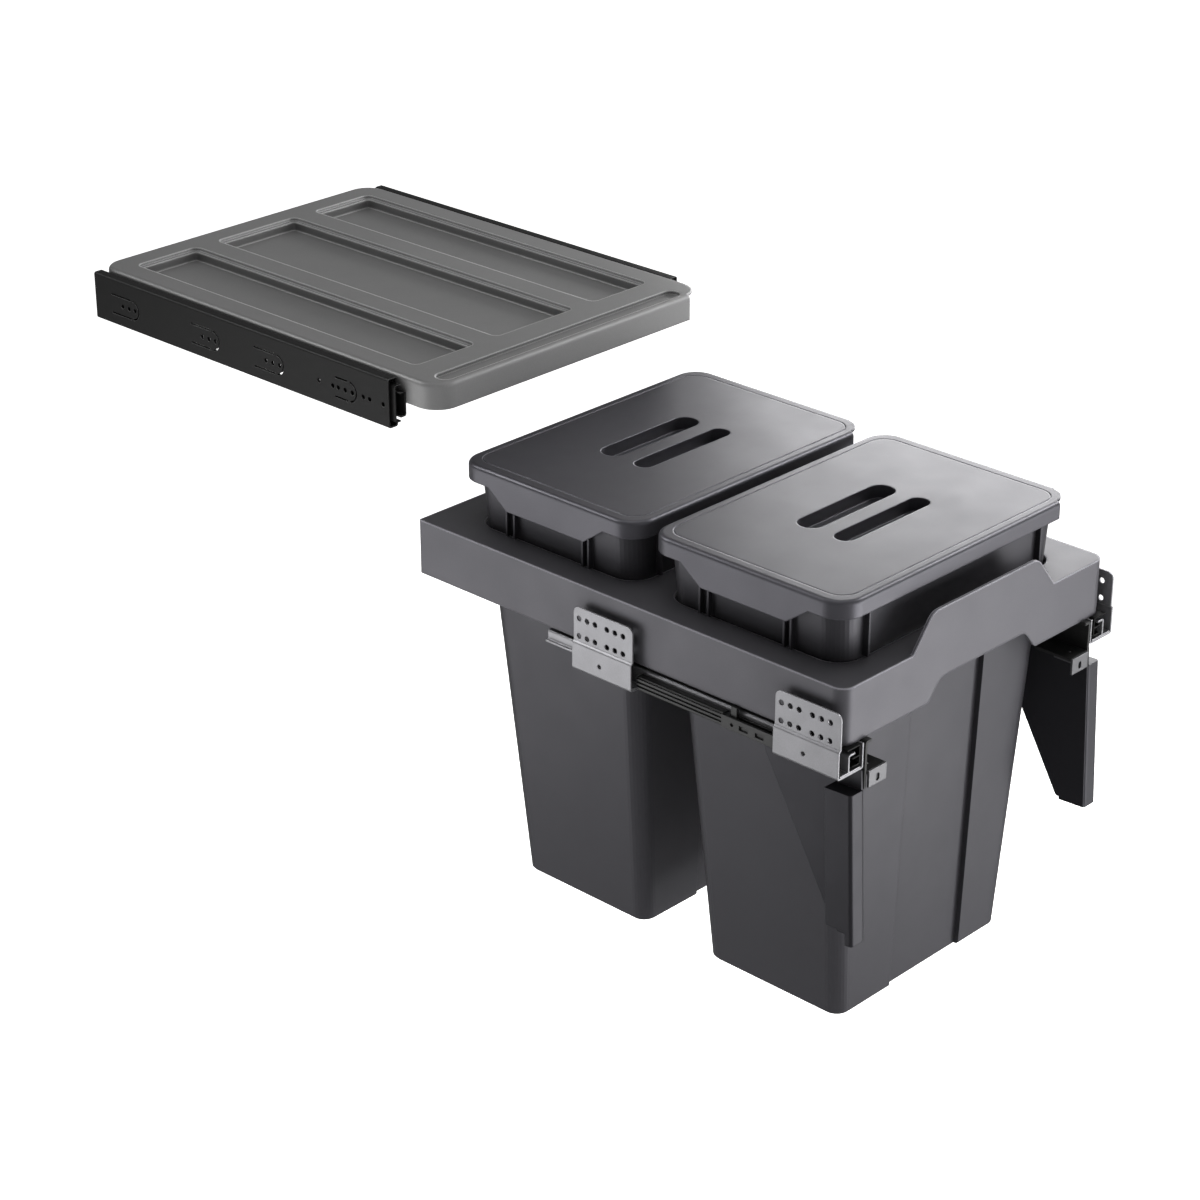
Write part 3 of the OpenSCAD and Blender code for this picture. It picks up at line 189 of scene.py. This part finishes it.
class WASTEBIN_PG_metals(bpy.types.PropertyGroup):
    """Colours and surface of the metal parts"""

    zinc_colour: colour_setting("Zinc", "Colour of the zinc plating", 0.22, (0.985, 0.98, 1.03))
    black_colour: colour_setting("Black coat", "Colour of the black coating", 0.016)
    screw_colour: colour_setting("Screws", "Colour of the screws", 0.50)
    ball_colour: colour_setting("Balls", "Colour of the polished balls", 0.75)
    zinc_roughness: share_setting("Zinc roughness", "Roughness of the zinc plating", 0.38)
    black_roughness: share_setting("Black roughness", "Roughness of the black coating", 0.45)
    screw_roughness: share_setting("Screw roughness", "Roughness of the screws", 0.30)
    ball_roughness: share_setting("Ball roughness", "Roughness of the polished balls", 0.18)
    edge_radius: length_setting(
        "Edge radius", "Radius that softens the sheared edges", 0.9 * MM, 0.005
    )
    head_height: length_setting("Head height", "Height of a screw head", 1.6 * MM, 0.01)
    shank_radius: length_setting(
        "Shank radius", "Radius over the thread of a screw", 1.6 * MM, 0.01
    )
    thread_pitch: length_setting(
        "Thread pitch", "Distance from turn to turn of the thread", 0.8 * MM, 0.01
    )
    recess_width: length_setting(
        "Recess width", "Width of the cross in a screw head", 0.8 * MM, 0.01
    )


class WASTEBIN_PG_studio(bpy.types.PropertyGroup):
    """Floor and lights"""

    floor_drop: length_setting("Floor drop", "Gap between the bins and the floor", 0.25)
    room_radius: length_setting("Room radius", "Radius of the floor and the wall", 12.0, 50.0)
    floor_colour: colour_setting("Floor", "Colour of the floor", 0.94)
    floor_glow: brightness_setting("Floor glow", "Own light of the floor", 1.0)
    sky_strength: brightness_setting("Sky strength", "Strength of the even light all round", 0.22)
    right_power: power_setting("Right light", "Power of the light that the tops reflect", 15.0)
    left_power: power_setting("Left light", "Power of the light on the left sides", 7.5)
    front_power: power_setting("Front light", "Power of the light on the fronts", 28.0)
    key_power: power_setting("Key light", "Power of the light above the front", 4.0)
    top_power: power_setting("Top light", "Power of the light overhead", 10.5)
    rim_power: power_setting("Rim lights", "Power of each light that only reflections show", 14.0)


class WASTEBIN_PG_settings(bpy.types.PropertyGroup):
    """Every setting of the waste bin"""

    plastics: PointerProperty(
        name="Plastics", description="Moulded parts", type=WASTEBIN_PG_plastics
    )
    metals: PointerProperty(name="Metals", description="Metal parts", type=WASTEBIN_PG_metals)
    studio: PointerProperty(
        name="Studio", description="Floor and lights", type=WASTEBIN_PG_studio
    )


class Recipe:
    """One material's node tree, built step by step."""

    def __init__(self, name):
        self.material = bpy.data.materials.new(name)
        self.material.use_nodes = True
        self.tree = self.material.node_tree
        self.shader = self.tree.nodes["Principled BSDF"]
        self.place = self.add("ShaderNodeTexCoord").outputs["Object"]

    def add(self, kind, inputs=None, **settings):
        """A new node with its settings, and its inputs set to values or linked."""
        node = self.tree.nodes.new(kind)
        for name, value in settings.items():
            setattr(node, name, value)
        for name, value in (inputs or {}).items():
            self.put(node.inputs[name], value)
        return node

    def put(self, socket, value):
        """Links a socket into this one, or sets its value."""
        if isinstance(value, bpy.types.NodeSocket):
            self.tree.links.new(value, socket)
        else:
            socket.default_value = value

    def noise(self, size, detail=2.0, roughness=0.5, place=None):
        """Noise whose lumps have that size in metres."""
        inputs = {
            "Vector": place or self.place, "Scale": 1.0 / size,
            "Detail": detail, "Roughness": roughness,
        }
        return self.add("ShaderNodeTexNoise", inputs).outputs["Fac"]

    def spread(self, value, low, high, start=0.3, end=0.7):
        """A texture's value, stretched from start..end to low..high."""
        inputs = {
            "Value": value, "From Min": start, "From Max": end, "To Min": low, "To Max": high,
        }
        return self.add("ShaderNodeMapRange", inputs).outputs["Result"]

    def math(self, operation, first, second=0.0):
        """One sum on two numbers."""
        node = self.add("ShaderNodeMath", operation=operation)
        self.put(node.inputs[0], first)
        self.put(node.inputs[1], second)
        return node.outputs[0]

    def brighten(self, colour, amount):
        """The colour times the amount."""
        node = self.add("ShaderNodeVectorMath", operation="SCALE")
        self.put(node.inputs[0], colour)
        self.put(node.inputs["Scale"], amount)
        return node.outputs[0]

    def rounded(self, radius):
        """The normal of a softened edge, and the mask of a painted highlight: a share that is 1 on
        an edge that looks up.
        """
        normal = self.add("ShaderNodeBevel", {"Radius": radius}, samples=6).outputs["Normal"]
        true = self.add("ShaderNodeNewGeometry").outputs["Normal"]
        dot = self.add("ShaderNodeVectorMath", operation="DOT_PRODUCT")
        self.put(dot.inputs[0], normal)
        self.put(dot.inputs[1], true)
        near = self.spread(dot.outputs["Value"], 0.0, 1.0, 0.995, 0.80)
        height = self.add("ShaderNodeSeparateXYZ", {"Vector": normal}).outputs["Z"]
        # painted highlight mask: full on softened edges that face up, where the colour is later
        # made paler as if lit
        painted_highlight = self.math("MULTIPLY", near, self.spread(height, 0.1, 1.0, -0.1, 0.5))
        return normal, painted_highlight

    def painted_corner_shade(self, reach, low):
        """Painted shade: a share that falls from 1 to low where surfaces within reach close a
        point in.
        """
        node = self.add("ShaderNodeAmbientOcclusion", {"Distance": reach}, samples=4)
        return self.spread(node.outputs["AO"], low, 1.0, 0.35, 0.9)

    def bump(self, height, depth, normal):
        """The normal with that height worked into it, in metres of depth."""
        inputs = {"Height": height, "Distance": depth, "Strength": 1.0, "Normal": normal}
        return self.add("ShaderNodeBump", inputs).outputs["Normal"]

    def shade(self, **sockets):
        """Sets the shader's sockets, named with underscores for blanks."""
        for name, value in sockets.items():
            self.put(self.shader.inputs[name.replace("_", " ")], value)


def moulded_plastic(name, colour, roughness, settings, level=0.5, painted_glint=2.0, edge_radius=None):
    """Moulded plastic: spark-eroded grain, flow shades, painted corner shade, painted edge
    highlights.
    """
    recipe = Recipe(name)
    normal, edge = recipe.rounded(edge_radius or settings.edge_radius)
    grain = recipe.noise(settings.grain_size, detail=3.0, roughness=0.6)
    flow = recipe.noise(0.16, detail=3.0)
    smears = recipe.noise(0.035, detail=4.0)
    tone = recipe.spread(flow, 0.95, 1.05)
    # painted highlight: edges that look up are made paler in proportion to the mask
    tone = recipe.math("ADD", tone, recipe.math("MULTIPLY", edge, painted_glint))
    tone = recipe.math("MULTIPLY", tone, recipe.spread(grain, 0.93, 1.07))
    # painted shade: the colour is darkened in corners and recesses
    tone = recipe.math("MULTIPLY", tone, recipe.painted_corner_shade(CORNER_REACH, CORNER_SHADE))
    recipe.shade(
        Base_Color=recipe.brighten((*colour,), tone),
        Roughness=recipe.spread(smears, roughness - 0.03, roughness + 0.03),
        Normal=recipe.bump(grain, settings.grain_depth, normal),
        IOR=1.5,
        Specular_IOR_Level=level,
        Specular_Tint=(*(part / max(colour) for part in colour), 1.0),
    )
    return recipe.material


def zinc_plating(name, settings, share=1.0):
    """Zinc-plated pressed steel: pale, finely speckled and drawn, with painted highlights on edges
    that look up.
    """
    recipe = Recipe(name)
    normal, edge = recipe.rounded(settings.edge_radius)
    speckle = recipe.noise(0.9 * MM, detail=2.0, roughness=0.7)
    clouds = recipe.noise(0.02, detail=4.0)
    tone = recipe.spread(speckle, 0.86, 1.1)
    tone = recipe.math("MULTIPLY", tone, recipe.spread(clouds, 0.93, 1.05))
    # painted highlight: edges that look up are made paler, and below less metallic, in proportion
    # to the mask
    tone = recipe.math("ADD", tone, recipe.math("MULTIPLY", edge, 2.0))
    rough = settings.zinc_roughness
    recipe.shade(
        Base_Color=recipe.brighten([part * share for part in settings.zinc_colour], tone),
        Metallic=recipe.spread(edge, 0.65, 0.2, 0.0, 1.0),
        Roughness=recipe.spread(speckle, rough - 0.07, rough + 0.1),
        Normal=recipe.bump(speckle, 0.01 * MM, normal),
    )
    return recipe.material


def black_coating(name, settings, share=1.0, gloss=0.25, painted_glint=0.6):
    """Black coated steel: fine orange peel, faint rubbed streaks and painted highlights on edges
    that look up.
    """
    recipe = Recipe(name)
    normal, edge = recipe.rounded(settings.edge_radius)
    peel = recipe.noise(1.2 * MM, detail=1.0)
    inputs = {"Vector": recipe.place, "Scale": (60.0, 1.0, 60.0)}
    stretched = recipe.add("ShaderNodeMapping", inputs).outputs["Vector"]
    streaks = recipe.noise(0.02, detail=3.0, place=stretched)
    tone = recipe.spread(streaks, 0.8, 1.25)
    # painted highlight: edges that look up are made paler in proportion to the mask
    tone = recipe.math("ADD", tone, recipe.math("MULTIPLY", edge, painted_glint))
    rough = settings.black_roughness
    recipe.shade(
        Base_Color=recipe.brighten([part * share for part in settings.black_colour], tone),
        Specular_IOR_Level=gloss,
        Roughness=recipe.spread(streaks, rough - 0.06, rough + 0.1),
        Normal=recipe.bump(peel, 0.012 * MM, normal),
    )
    return recipe.material


def polished_steel(name, colour, roughness):
    """Bright steel of the balls and screws, with hair-fine scratches."""
    recipe = Recipe(name)
    scratches = recipe.noise(0.15 * MM, detail=2.0)
    recipe.shade(
        Base_Color=recipe.brighten((*colour,), recipe.spread(scratches, 0.9, 1.05)),
        Metallic=1.0,
        Roughness=recipe.spread(scratches, roughness - 0.05, roughness + 0.08),
    )
    return recipe.material


def finish(material, slot, *names):
    """Gives the named CAD nodes that material."""
    for name in names:
        node = NODES[name]
        node.data.materials.clear()
        node.data.materials.append(material)


def islands(mesh):
    """The lowest and highest corner and the middle of the surface of each loose part of a mesh."""
    shape = bmesh.new()
    shape.from_mesh(mesh)
    bmesh.ops.remove_doubles(shape, verts=shape.verts, dist=WELD_GAP)
    left = set(shape.verts)
    found = []
    while left:
        reached = {left.pop()}
        front = list(reached)
        while front:
            vert = front.pop()
            for edge in vert.link_edges:
                other = edge.other_vert(vert)
                if other not in reached:
                    reached.add(other)
                    front.append(other)
        left -= reached
        faces = {face for vert in reached for face in vert.link_faces}
        area = sum(face.calc_area() for face in faces)
        weighed = (face.calc_center_median() * face.calc_area() for face in faces)
        middle = sum(weighed, Vector()) / area
        low = Vector([min(vert.co[axis] for vert in reached) for axis in range(3)])
        high = Vector([max(vert.co[axis] for vert in reached) for axis in range(3)])
        found.append((low, high, middle))
    shape.free()
    return sorted(found, key=lambda part: tuple(part[0]))


def both(*stems):
    """The names of the left and right node of each stem."""
    return [f"{stem}_{side}" for stem in stems for side in SIDES]


class WASTEBIN_OT_brackets(bpy.types.Operator):
    """Finishes the four cabinet brackets and their rivets"""

    bl_idname = "wastebin.brackets"
    bl_label = "Brackets"

    def execute(self, context):
        zinc = zinc_plating("zinc_plating", context.scene.waste_bin.metals)
        finish(zinc, "zinc", *both("bracket_front", "bracket_rear"), "rail_rivets")
        return {"FINISHED"}


class WASTEBIN_OT_lower_rails(bpy.types.Operator):
    """Finishes the three members of each lower rail, with the hooks of the soft close"""

    bl_idname = "wastebin.lower_rails"
    bl_label = "Lower rails"

    def execute(self, context):
        settings = context.scene.waste_bin
        zinc = zinc_plating("rail_zinc", settings.metals)
        finish(zinc, "zinc", *both("cabinet_rail"))
        black = black_coating("rail_coating", settings.metals, share=0.4, gloss=0.08)
        finish(black, "black_steel", *both("middle_rail", "drawer_rail"))
        plastics = settings.plastics
        plastic = moulded_plastic(
            "hook_plastic", plastics.black_colour, plastics.black_roughness, plastics, level=0.25
        )
        finish(plastic, "black_plastic", *both("catch_hook"))
        return {"FINISHED"}


class WASTEBIN_OT_glides(bpy.types.Operator):
    """Finishes the plastic glides between the lower rails"""

    bl_idname = "wastebin.glides"
    bl_label = "Glides"

    def execute(self, context):
        plastics = context.scene.waste_bin.plastics
        plastic = moulded_plastic(
            "glide_plastic", plastics.glide_colour, plastics.glide_roughness, plastics, painted_glint=0.1
        )
        finish(plastic, "glide_plastic", *both("middle_glides"), "drawer_glides")
        return {"FINISHED"}


class WASTEBIN_OT_soft_close(bpy.types.Operator):
    """Finishes the two soft-close housings"""

    bl_idname = "wastebin.soft_close"
    bl_label = "Soft close"

    def execute(self, context):
        plastics = context.scene.waste_bin.plastics
        plastic = moulded_plastic(
            "housing_plastic", plastics.black_colour, plastics.black_roughness, plastics,
            level=0.25,
        )
        finish(plastic, "black_plastic", *both("soft_close"))
        return {"FINISHED"}


class WASTEBIN_OT_bin_frame(bpy.types.Operator):
    """Finishes the moulded frame"""

    bl_idname = "wastebin.bin_frame"
    bl_label = "Bin frame"

    def execute(self, context):
        plastics = context.scene.waste_bin.plastics
        plastic = moulded_plastic(
            "frame_plastic", plastics.frame_colour, plastics.frame_roughness, plastics,
            painted_glint=7.0, edge_radius=plastics.frame_edge_radius,
        )
        finish(plastic, "frame_plastic", "bin_frame")
        return {"FINISHED"}


class WASTEBIN_OT_bins(bpy.types.Operator):
    """Finishes the front and the rear bin"""

    bl_idname = "wastebin.bins"
    bl_label = "Bins"

    def execute(self, context):
        plastics = context.scene.waste_bin.plastics
        plastic = moulded_plastic(
            "bin_plastic", plastics.bin_colour, plastics.bin_roughness, plastics, level=0.35
        )
        finish(plastic, "bin_plastic", "front_bin", "rear_bin")
        return {"FINISHED"}


class WASTEBIN_OT_bin_lids(bpy.types.Operator):
    """Finishes the lids of both bins"""

    bl_idname = "wastebin.bin_lids"
    bl_label = "Bin lids"

    def execute(self, context):
        plastics = context.scene.waste_bin.plastics
        plastic = moulded_plastic(
            "lid_plastic", plastics.lid_colour, plastics.lid_roughness, plastics,
            painted_glint=3.0, edge_radius=plastics.lid_edge_radius,
        )
        finish(plastic, "lid_plastic", "front_bin_lid", "rear_bin_lid")
        return {"FINISHED"}


class WASTEBIN_OT_door_arms(bpy.types.Operator):
    """Finishes the door arms and their slotted tabs"""

    bl_idname = "wastebin.door_arms"
    bl_label = "Door arms"

    def execute(self, context):
        metals = context.scene.waste_bin.metals
        finish(black_coating("arm_coating", metals), "black_steel", *both("door_arm"))
        finish(zinc_plating("tab_zinc", metals, share=0.5), "zinc", *both("slotted_tab"))
        return {"FINISHED"}


class WASTEBIN_OT_door_wings(bpy.types.Operator):
    """Finishes the two wings that brace the door"""

    bl_idname = "wastebin.door_wings"
    bl_label = "Door wings"

    def execute(self, context):
        plastics = context.scene.waste_bin.plastics
        plastic = moulded_plastic(
            "wing_plastic", plastics.wing_colour, plastics.bin_roughness, plastics, level=0.28
        )
        finish(plastic, "wing_plastic", *both("door_wing"))
        return {"FINISHED"}


class WASTEBIN_OT_shelf_lid(bpy.types.Operator):
    """Finishes the shelf lid with its three bays"""

    bl_idname = "wastebin.shelf_lid"
    bl_label = "Shelf lid"

    def execute(self, context):
        plastics = context.scene.waste_bin.plastics
        plastic = moulded_plastic(
            "shelf_plastic", plastics.shelf_colour, plastics.shelf_roughness, plastics,
            painted_glint=2.4, edge_radius=plastics.shelf_edge_radius,
        )
        finish(plastic, "shelf_plastic", "shelf_lid")
        return {"FINISHED"}


class WASTEBIN_OT_shelf_slides(bpy.types.Operator):
    """Finishes the members of the two ball-bearing slides"""

    bl_idname = "wastebin.shelf_slides"
    bl_label = "Shelf slides"

    def execute(self, context):
        metals = context.scene.waste_bin.metals
        black = black_coating("slide_coating", metals, share=0.5, gloss=0.12, painted_glint=25.0)
        names = both("shelf_outer_rail", "shelf_middle_rail", "shelf_inner_rail")
        finish(black, "black_steel", *names)
        return {"FINISHED"}


class WASTEBIN_OT_shelf_balls(bpy.types.Operator):
    """Finishes the balls of the slides"""

    bl_idname = "wastebin.shelf_balls"
    bl_label = "Shelf balls"

    def execute(self, context):
        metals = context.scene.waste_bin.metals
        steel = polished_steel("ball_steel", metals.ball_colour, metals.ball_roughness)
        finish(steel, "screw_steel", *both("shelf_outer_balls", "shelf_inner_balls"))
        return {"FINISHED"}


class WASTEBIN_OT_screws(bpy.types.Operator):
    """Puts a threaded pan-head screw with a cross recess in the place of every plain one"""

    bl_idname = "wastebin.screws"
    bl_label = "Screws"

    def execute(self, context):
        metals = context.scene.waste_bin.metals
        steel = polished_steel("screw_steel", metals.screw_colour, metals.screw_roughness)
        for name in ("rail_screws", "arm_screws", "shelf_screws"):
            self.place_screws(name, metals, steel)
        return {"FINISHED"}

    def place_screws(self, name, metals, steel):
        """One object with the screws of that node, each where the plain one is."""
        shape = bmesh.new()
        for low, high, middle in islands(NODES[name].data):
            lean = middle - (low + high) / 2
            axis = max(range(3), key=lambda index: abs(lean[index]))
            ahead = Vector((0.0, 0.0, 0.0))
            ahead[axis] = math.copysign(1.0, lean[axis])
            size = high - low
            top = (low + high) / 2 + ahead * size[axis] / 2
            self.add_screw(shape, top, ahead, size[axis], size[axis - 1] / 2, metals)
        mesh = bpy.data.meshes.new(f"{name}_detail")
        bmesh.ops.recalc_face_normals(shape, faces=shape.faces)
        shape.to_mesh(mesh)
        shape.free()
        mesh.shade_smooth()
        mesh.set_sharp_from_angle(angle=SHARP_ANGLE)
        mesh.materials.append(steel)
        piece = bpy.data.objects.new(f"{name}_detail", mesh)
        bpy.context.scene.collection.objects.link(piece)
        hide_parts(name)
        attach(piece, NODES[name]["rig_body"])

    def add_screw(self, shape, top, ahead, length, radius, metals):
        """Adds one screw whose head ends at top and faces ahead."""
        turn = ahead.to_track_quat("Z", "Y")
        height = metals.head_height

        def point(across, along, z):
            return shape.verts.new(top + turn @ Vector((across, along, z - height)))

        def ring(r, z, count=HEAD_SEGMENTS):
            angles = [2 * math.pi * index / count for index in range(count)]
            return [point(r * math.cos(a), r * math.sin(a), z) for a in angles]

        rings = self.thread_rings(point, length - height, metals)
        rings.append(ring(metals.shank_radius, 0.0))
        rings += [ring(radius * wide, height * high) for wide, high in HEAD_PROFILE]
        for below, above in zip(rings, rings[1:]):
            for index in range(HEAD_SEGMENTS):
                after = (index + 1) % HEAD_SEGMENTS
                shape.faces.new((below[index], below[after], above[after], above[index]))
        shape.faces.new(rings[0])
        self.add_recess(shape, point, rings[-1], radius, metals)

    def thread_rings(self, point, length, metals):
        """The rings of the shank, wound into a thread that starts at a short taper."""
        pitch = metals.thread_pitch
        rows = max(2, round(length / pitch * ROWS_PER_TURN))
        rings = []
        for row in range(rows):
            z = -length + length * row / rows
            taper = min(1.0, TIP_SHARE + (1.0 - TIP_SHARE) * (z + length) / pitch)
            ring = []
            for index in range(HEAD_SEGMENTS):
                share = index / HEAD_SEGMENTS
                turn = 2 * math.pi * share
                flank = abs(2 * ((z / pitch - share) % 1.0) - 1)
                r = metals.shank_radius * taper * (1 - THREAD_DEPTH * flank)
                ring.append(point(r * math.cos(turn), r * math.sin(turn), z))
            rings.append(ring)
        return rings

    def add_recess(self, shape, point, rim, radius, metals):
        """Closes the top of the head round a cross recess with sloping walls."""
        w = metals.recess_width / 2
        a = radius * RECESS_REACH
        outline = [
            (a, -w), (a, w), (w, w), (w, a), (-w, a), (-w, w),
            (-a, w), (-a, -w), (-w, -w), (-w, -a), (w, -a), (w, -w),
        ]
        height = metals.head_height
        upper = [point(x, y, height) for x, y in outline]
        foot = [(x * RECESS_FOOT, y * RECESS_FOOT) for x, y in outline]
        lower = [point(x, y, height * RECESS_FLOOR) for x, y in foot]
        edges = []
        for loop in (rim, upper):
            for one, other in zip(loop, loop[1:] + loop[:1]):
                edges.append(shape.edges.get((one, other)) or shape.edges.new((one, other)))
        bmesh.ops.triangle_fill(shape, use_beauty=True, use_dissolve=False, edges=edges)
        for index in range(len(outline)):
            after = (index + 1) % len(outline)
            shape.faces.new((upper[index], upper[after], lower[after], lower[index]))
        shape.faces.new(lower)


def softbox(name, place, target, size, power):
    """A rectangular area light of that width and height that faces the target."""
    data = bpy.data.lights.new(name, "AREA")
    data.shape = "RECTANGLE"
    data.size, data.size_y = size
    data.energy = power
    light = bpy.data.objects.new(name, data)
    light.location = place
    light.rotation_mode = "QUATERNION"
    light.rotation_quaternion = (Vector(target) - Vector(place)).to_track_quat("-Z", "Y")
    light.visible_camera = False
    bpy.context.scene.collection.objects.link(light)
    return light


class WASTEBIN_OT_stage(bpy.types.Operator):
    """Sets up the camera, the floor, the round wall and the lights"""

    bl_idname = "wastebin.stage"
    bl_label = "Stage"

    def execute(self, context):
        studio = context.scene.waste_bin.studio
        low, high = CAD_BOX
        centre = (low + high) / 2
        self.set_camera(context.scene)
        self.lay_floor(low.z - studio.floor_drop, centre, studio)
        self.light_up(context.scene, centre, studio)
        return {"FINISHED"}

    def set_camera(self, scene):
        """The camera at the measured place and angle."""
        data = bpy.data.cameras.new("camera")
        data.lens = CAMERA_LENS
        data.sensor_width = SENSOR_WIDTH
        data.sensor_fit = "HORIZONTAL"
        camera = bpy.data.objects.new("camera", data)
        camera.location = CAMERA_PLACE
        ahead = Vector((
            math.sin(CAMERA_TURN) * math.cos(CAMERA_DIP),
            math.cos(CAMERA_TURN) * math.cos(CAMERA_DIP),
            -math.sin(CAMERA_DIP),
        ))
        camera.rotation_mode = "QUATERNION"
        camera.rotation_quaternion = ahead.to_track_quat("-Z", "Y")
        scene.collection.objects.link(camera)
        scene.camera = camera

    def lay_floor(self, height, centre, studio):
        """A wide pale floor below the bin, and a round pale wall that only the camera sees."""
        radius = studio.room_radius
        turns = [2 * math.pi * index / WALL_SIDES for index in range(WALL_SIDES)]
        plan = [(centre.x + radius * math.cos(a), centre.y + radius * math.sin(a)) for a in turns]
        foot = [(x, y, height) for x, y in plan]
        head = [(x, y, height + radius) for x, y in plan]
        sides = []
        for index in range(WALL_SIDES):
            after = (index + 1) % WALL_SIDES
            sides.append((index, after, WALL_SIDES + after, WALL_SIDES + index))
        paint = self.paint(studio)
        floor = self.add_mesh("floor", foot, [tuple(range(WALL_SIDES))], paint)
        wall = self.add_mesh("wall", foot + head, sides, paint)
        floor.visible_glossy = False
        wall.visible_glossy = wall.visible_diffuse = wall.visible_shadow = False

    def add_mesh(self, name, points, faces, paint):
        """A painted object of the stage."""
        mesh = bpy.data.meshes.new(name)
        mesh.from_pydata(points, [], faces)
        mesh.materials.append(paint)
        thing = bpy.data.objects.new(name, mesh)
        bpy.context.scene.collection.objects.link(thing)
        return thing

    def paint(self, studio):
        """Matt white paint with faint clouds and a light of its own."""
        recipe = Recipe("floor_paint")
        cloud = recipe.noise(0.5, detail=2.0)
        recipe.shade(
            Base_Color=recipe.brighten((*studio.floor_colour,), recipe.spread(cloud, 0.99, 1.01)),
            Roughness=0.8,
            Emission_Color=WHITE,
            Emission_Strength=studio.floor_glow,
        )
        return recipe.material

    def light_up(self, scene, centre, studio):
        """An even pale sky, five softboxes and two lights that only reflections show."""
        world = bpy.data.worlds.new("studio")
        world.use_nodes = True
        sky = world.node_tree.nodes["Background"]
        sky.inputs["Color"].default_value = WHITE
        sky.inputs["Strength"].default_value = studio.sky_strength
        scene.world = world
        scene.view_settings.view_transform = "Standard"
        softbox(
            "right_light", (1.10, 0.45, 0.25), (0.0, 0.45, 0.1), (1.1, 0.7), studio.right_power
        )
        softbox(
            "left_light", (-0.85, 1.00, -0.45), (0.0, 0.3, -0.45), (0.9, 0.9), studio.left_power
        )
        softbox(
            "front_light", (0.80, -1.20, -0.40), (0.10, 0.0, -0.15), (1.2, 1.2), studio.front_power
        )
        key_place = centre + Vector((-0.3, -2.2, 0.9))
        softbox("key_light", key_place, centre, (1.4, 1.4), studio.key_power)
        for name, way in RIM_LIGHTS:
            place = centre + Vector(way) * RIM_DISTANCE
            softbox(name, place, centre, (0.5, 0.5), studio.rim_power).visible_diffuse = False
        top_place = centre + Vector((0.0, 0.0, 1.6))
        softbox("top_light", top_place, centre, (1.5, 1.5), studio.top_power)


class WASTEBIN_PT_panel(bpy.types.Panel):
    """Lists the steps and the settings"""

    bl_idname = "WASTEBIN_PT_panel"
    bl_label = "Waste bin"
    bl_space_type = "VIEW_3D"
    bl_region_type = "UI"
    bl_category = "Waste bin"

    def draw(self, context):
        settings = context.scene.waste_bin
        for step in STEPS:
            self.layout.operator(step.bl_idname)
        for name in ("plastics", "metals", "studio"):
            box = self.layout.box()
            box.label(text=name.capitalize())
            group = getattr(settings, name)
            for key in group.__annotations__:
                box.prop(group, key)


STEPS = (
    WASTEBIN_OT_brackets,
    WASTEBIN_OT_lower_rails,
    WASTEBIN_OT_glides,
    WASTEBIN_OT_soft_close,
    WASTEBIN_OT_bin_frame,
    WASTEBIN_OT_bins,
    WASTEBIN_OT_bin_lids,
    WASTEBIN_OT_door_arms,
    WASTEBIN_OT_door_wings,
    WASTEBIN_OT_shelf_lid,
    WASTEBIN_OT_shelf_slides,
    WASTEBIN_OT_shelf_balls,
    WASTEBIN_OT_screws,
    WASTEBIN_OT_stage,
)
GROUPS = (WASTEBIN_PG_plastics, WASTEBIN_PG_metals, WASTEBIN_PG_studio, WASTEBIN_PG_settings)


def register():
    """Registers the settings, the steps and the panel."""
    for kind in (*GROUPS, *STEPS, WASTEBIN_PT_panel):
        bpy.utils.register_class(kind)
    bpy.types.Scene.waste_bin = PointerProperty(
        name="Waste bin", description="Settings of the waste bin", type=WASTEBIN_PG_settings
    )


def unregister():
    """Removes what register added."""
    del bpy.types.Scene.waste_bin
    for kind in reversed((*GROUPS, *STEPS, WASTEBIN_PT_panel)):
        bpy.utils.unregister_class(kind)


def main():
    """Runs every step in order."""
    register()
    for step in STEPS:
        family, name = step.bl_idname.split(".")
        getattr(getattr(bpy.ops, family), name)()


if __name__ == "__main__":
    main()
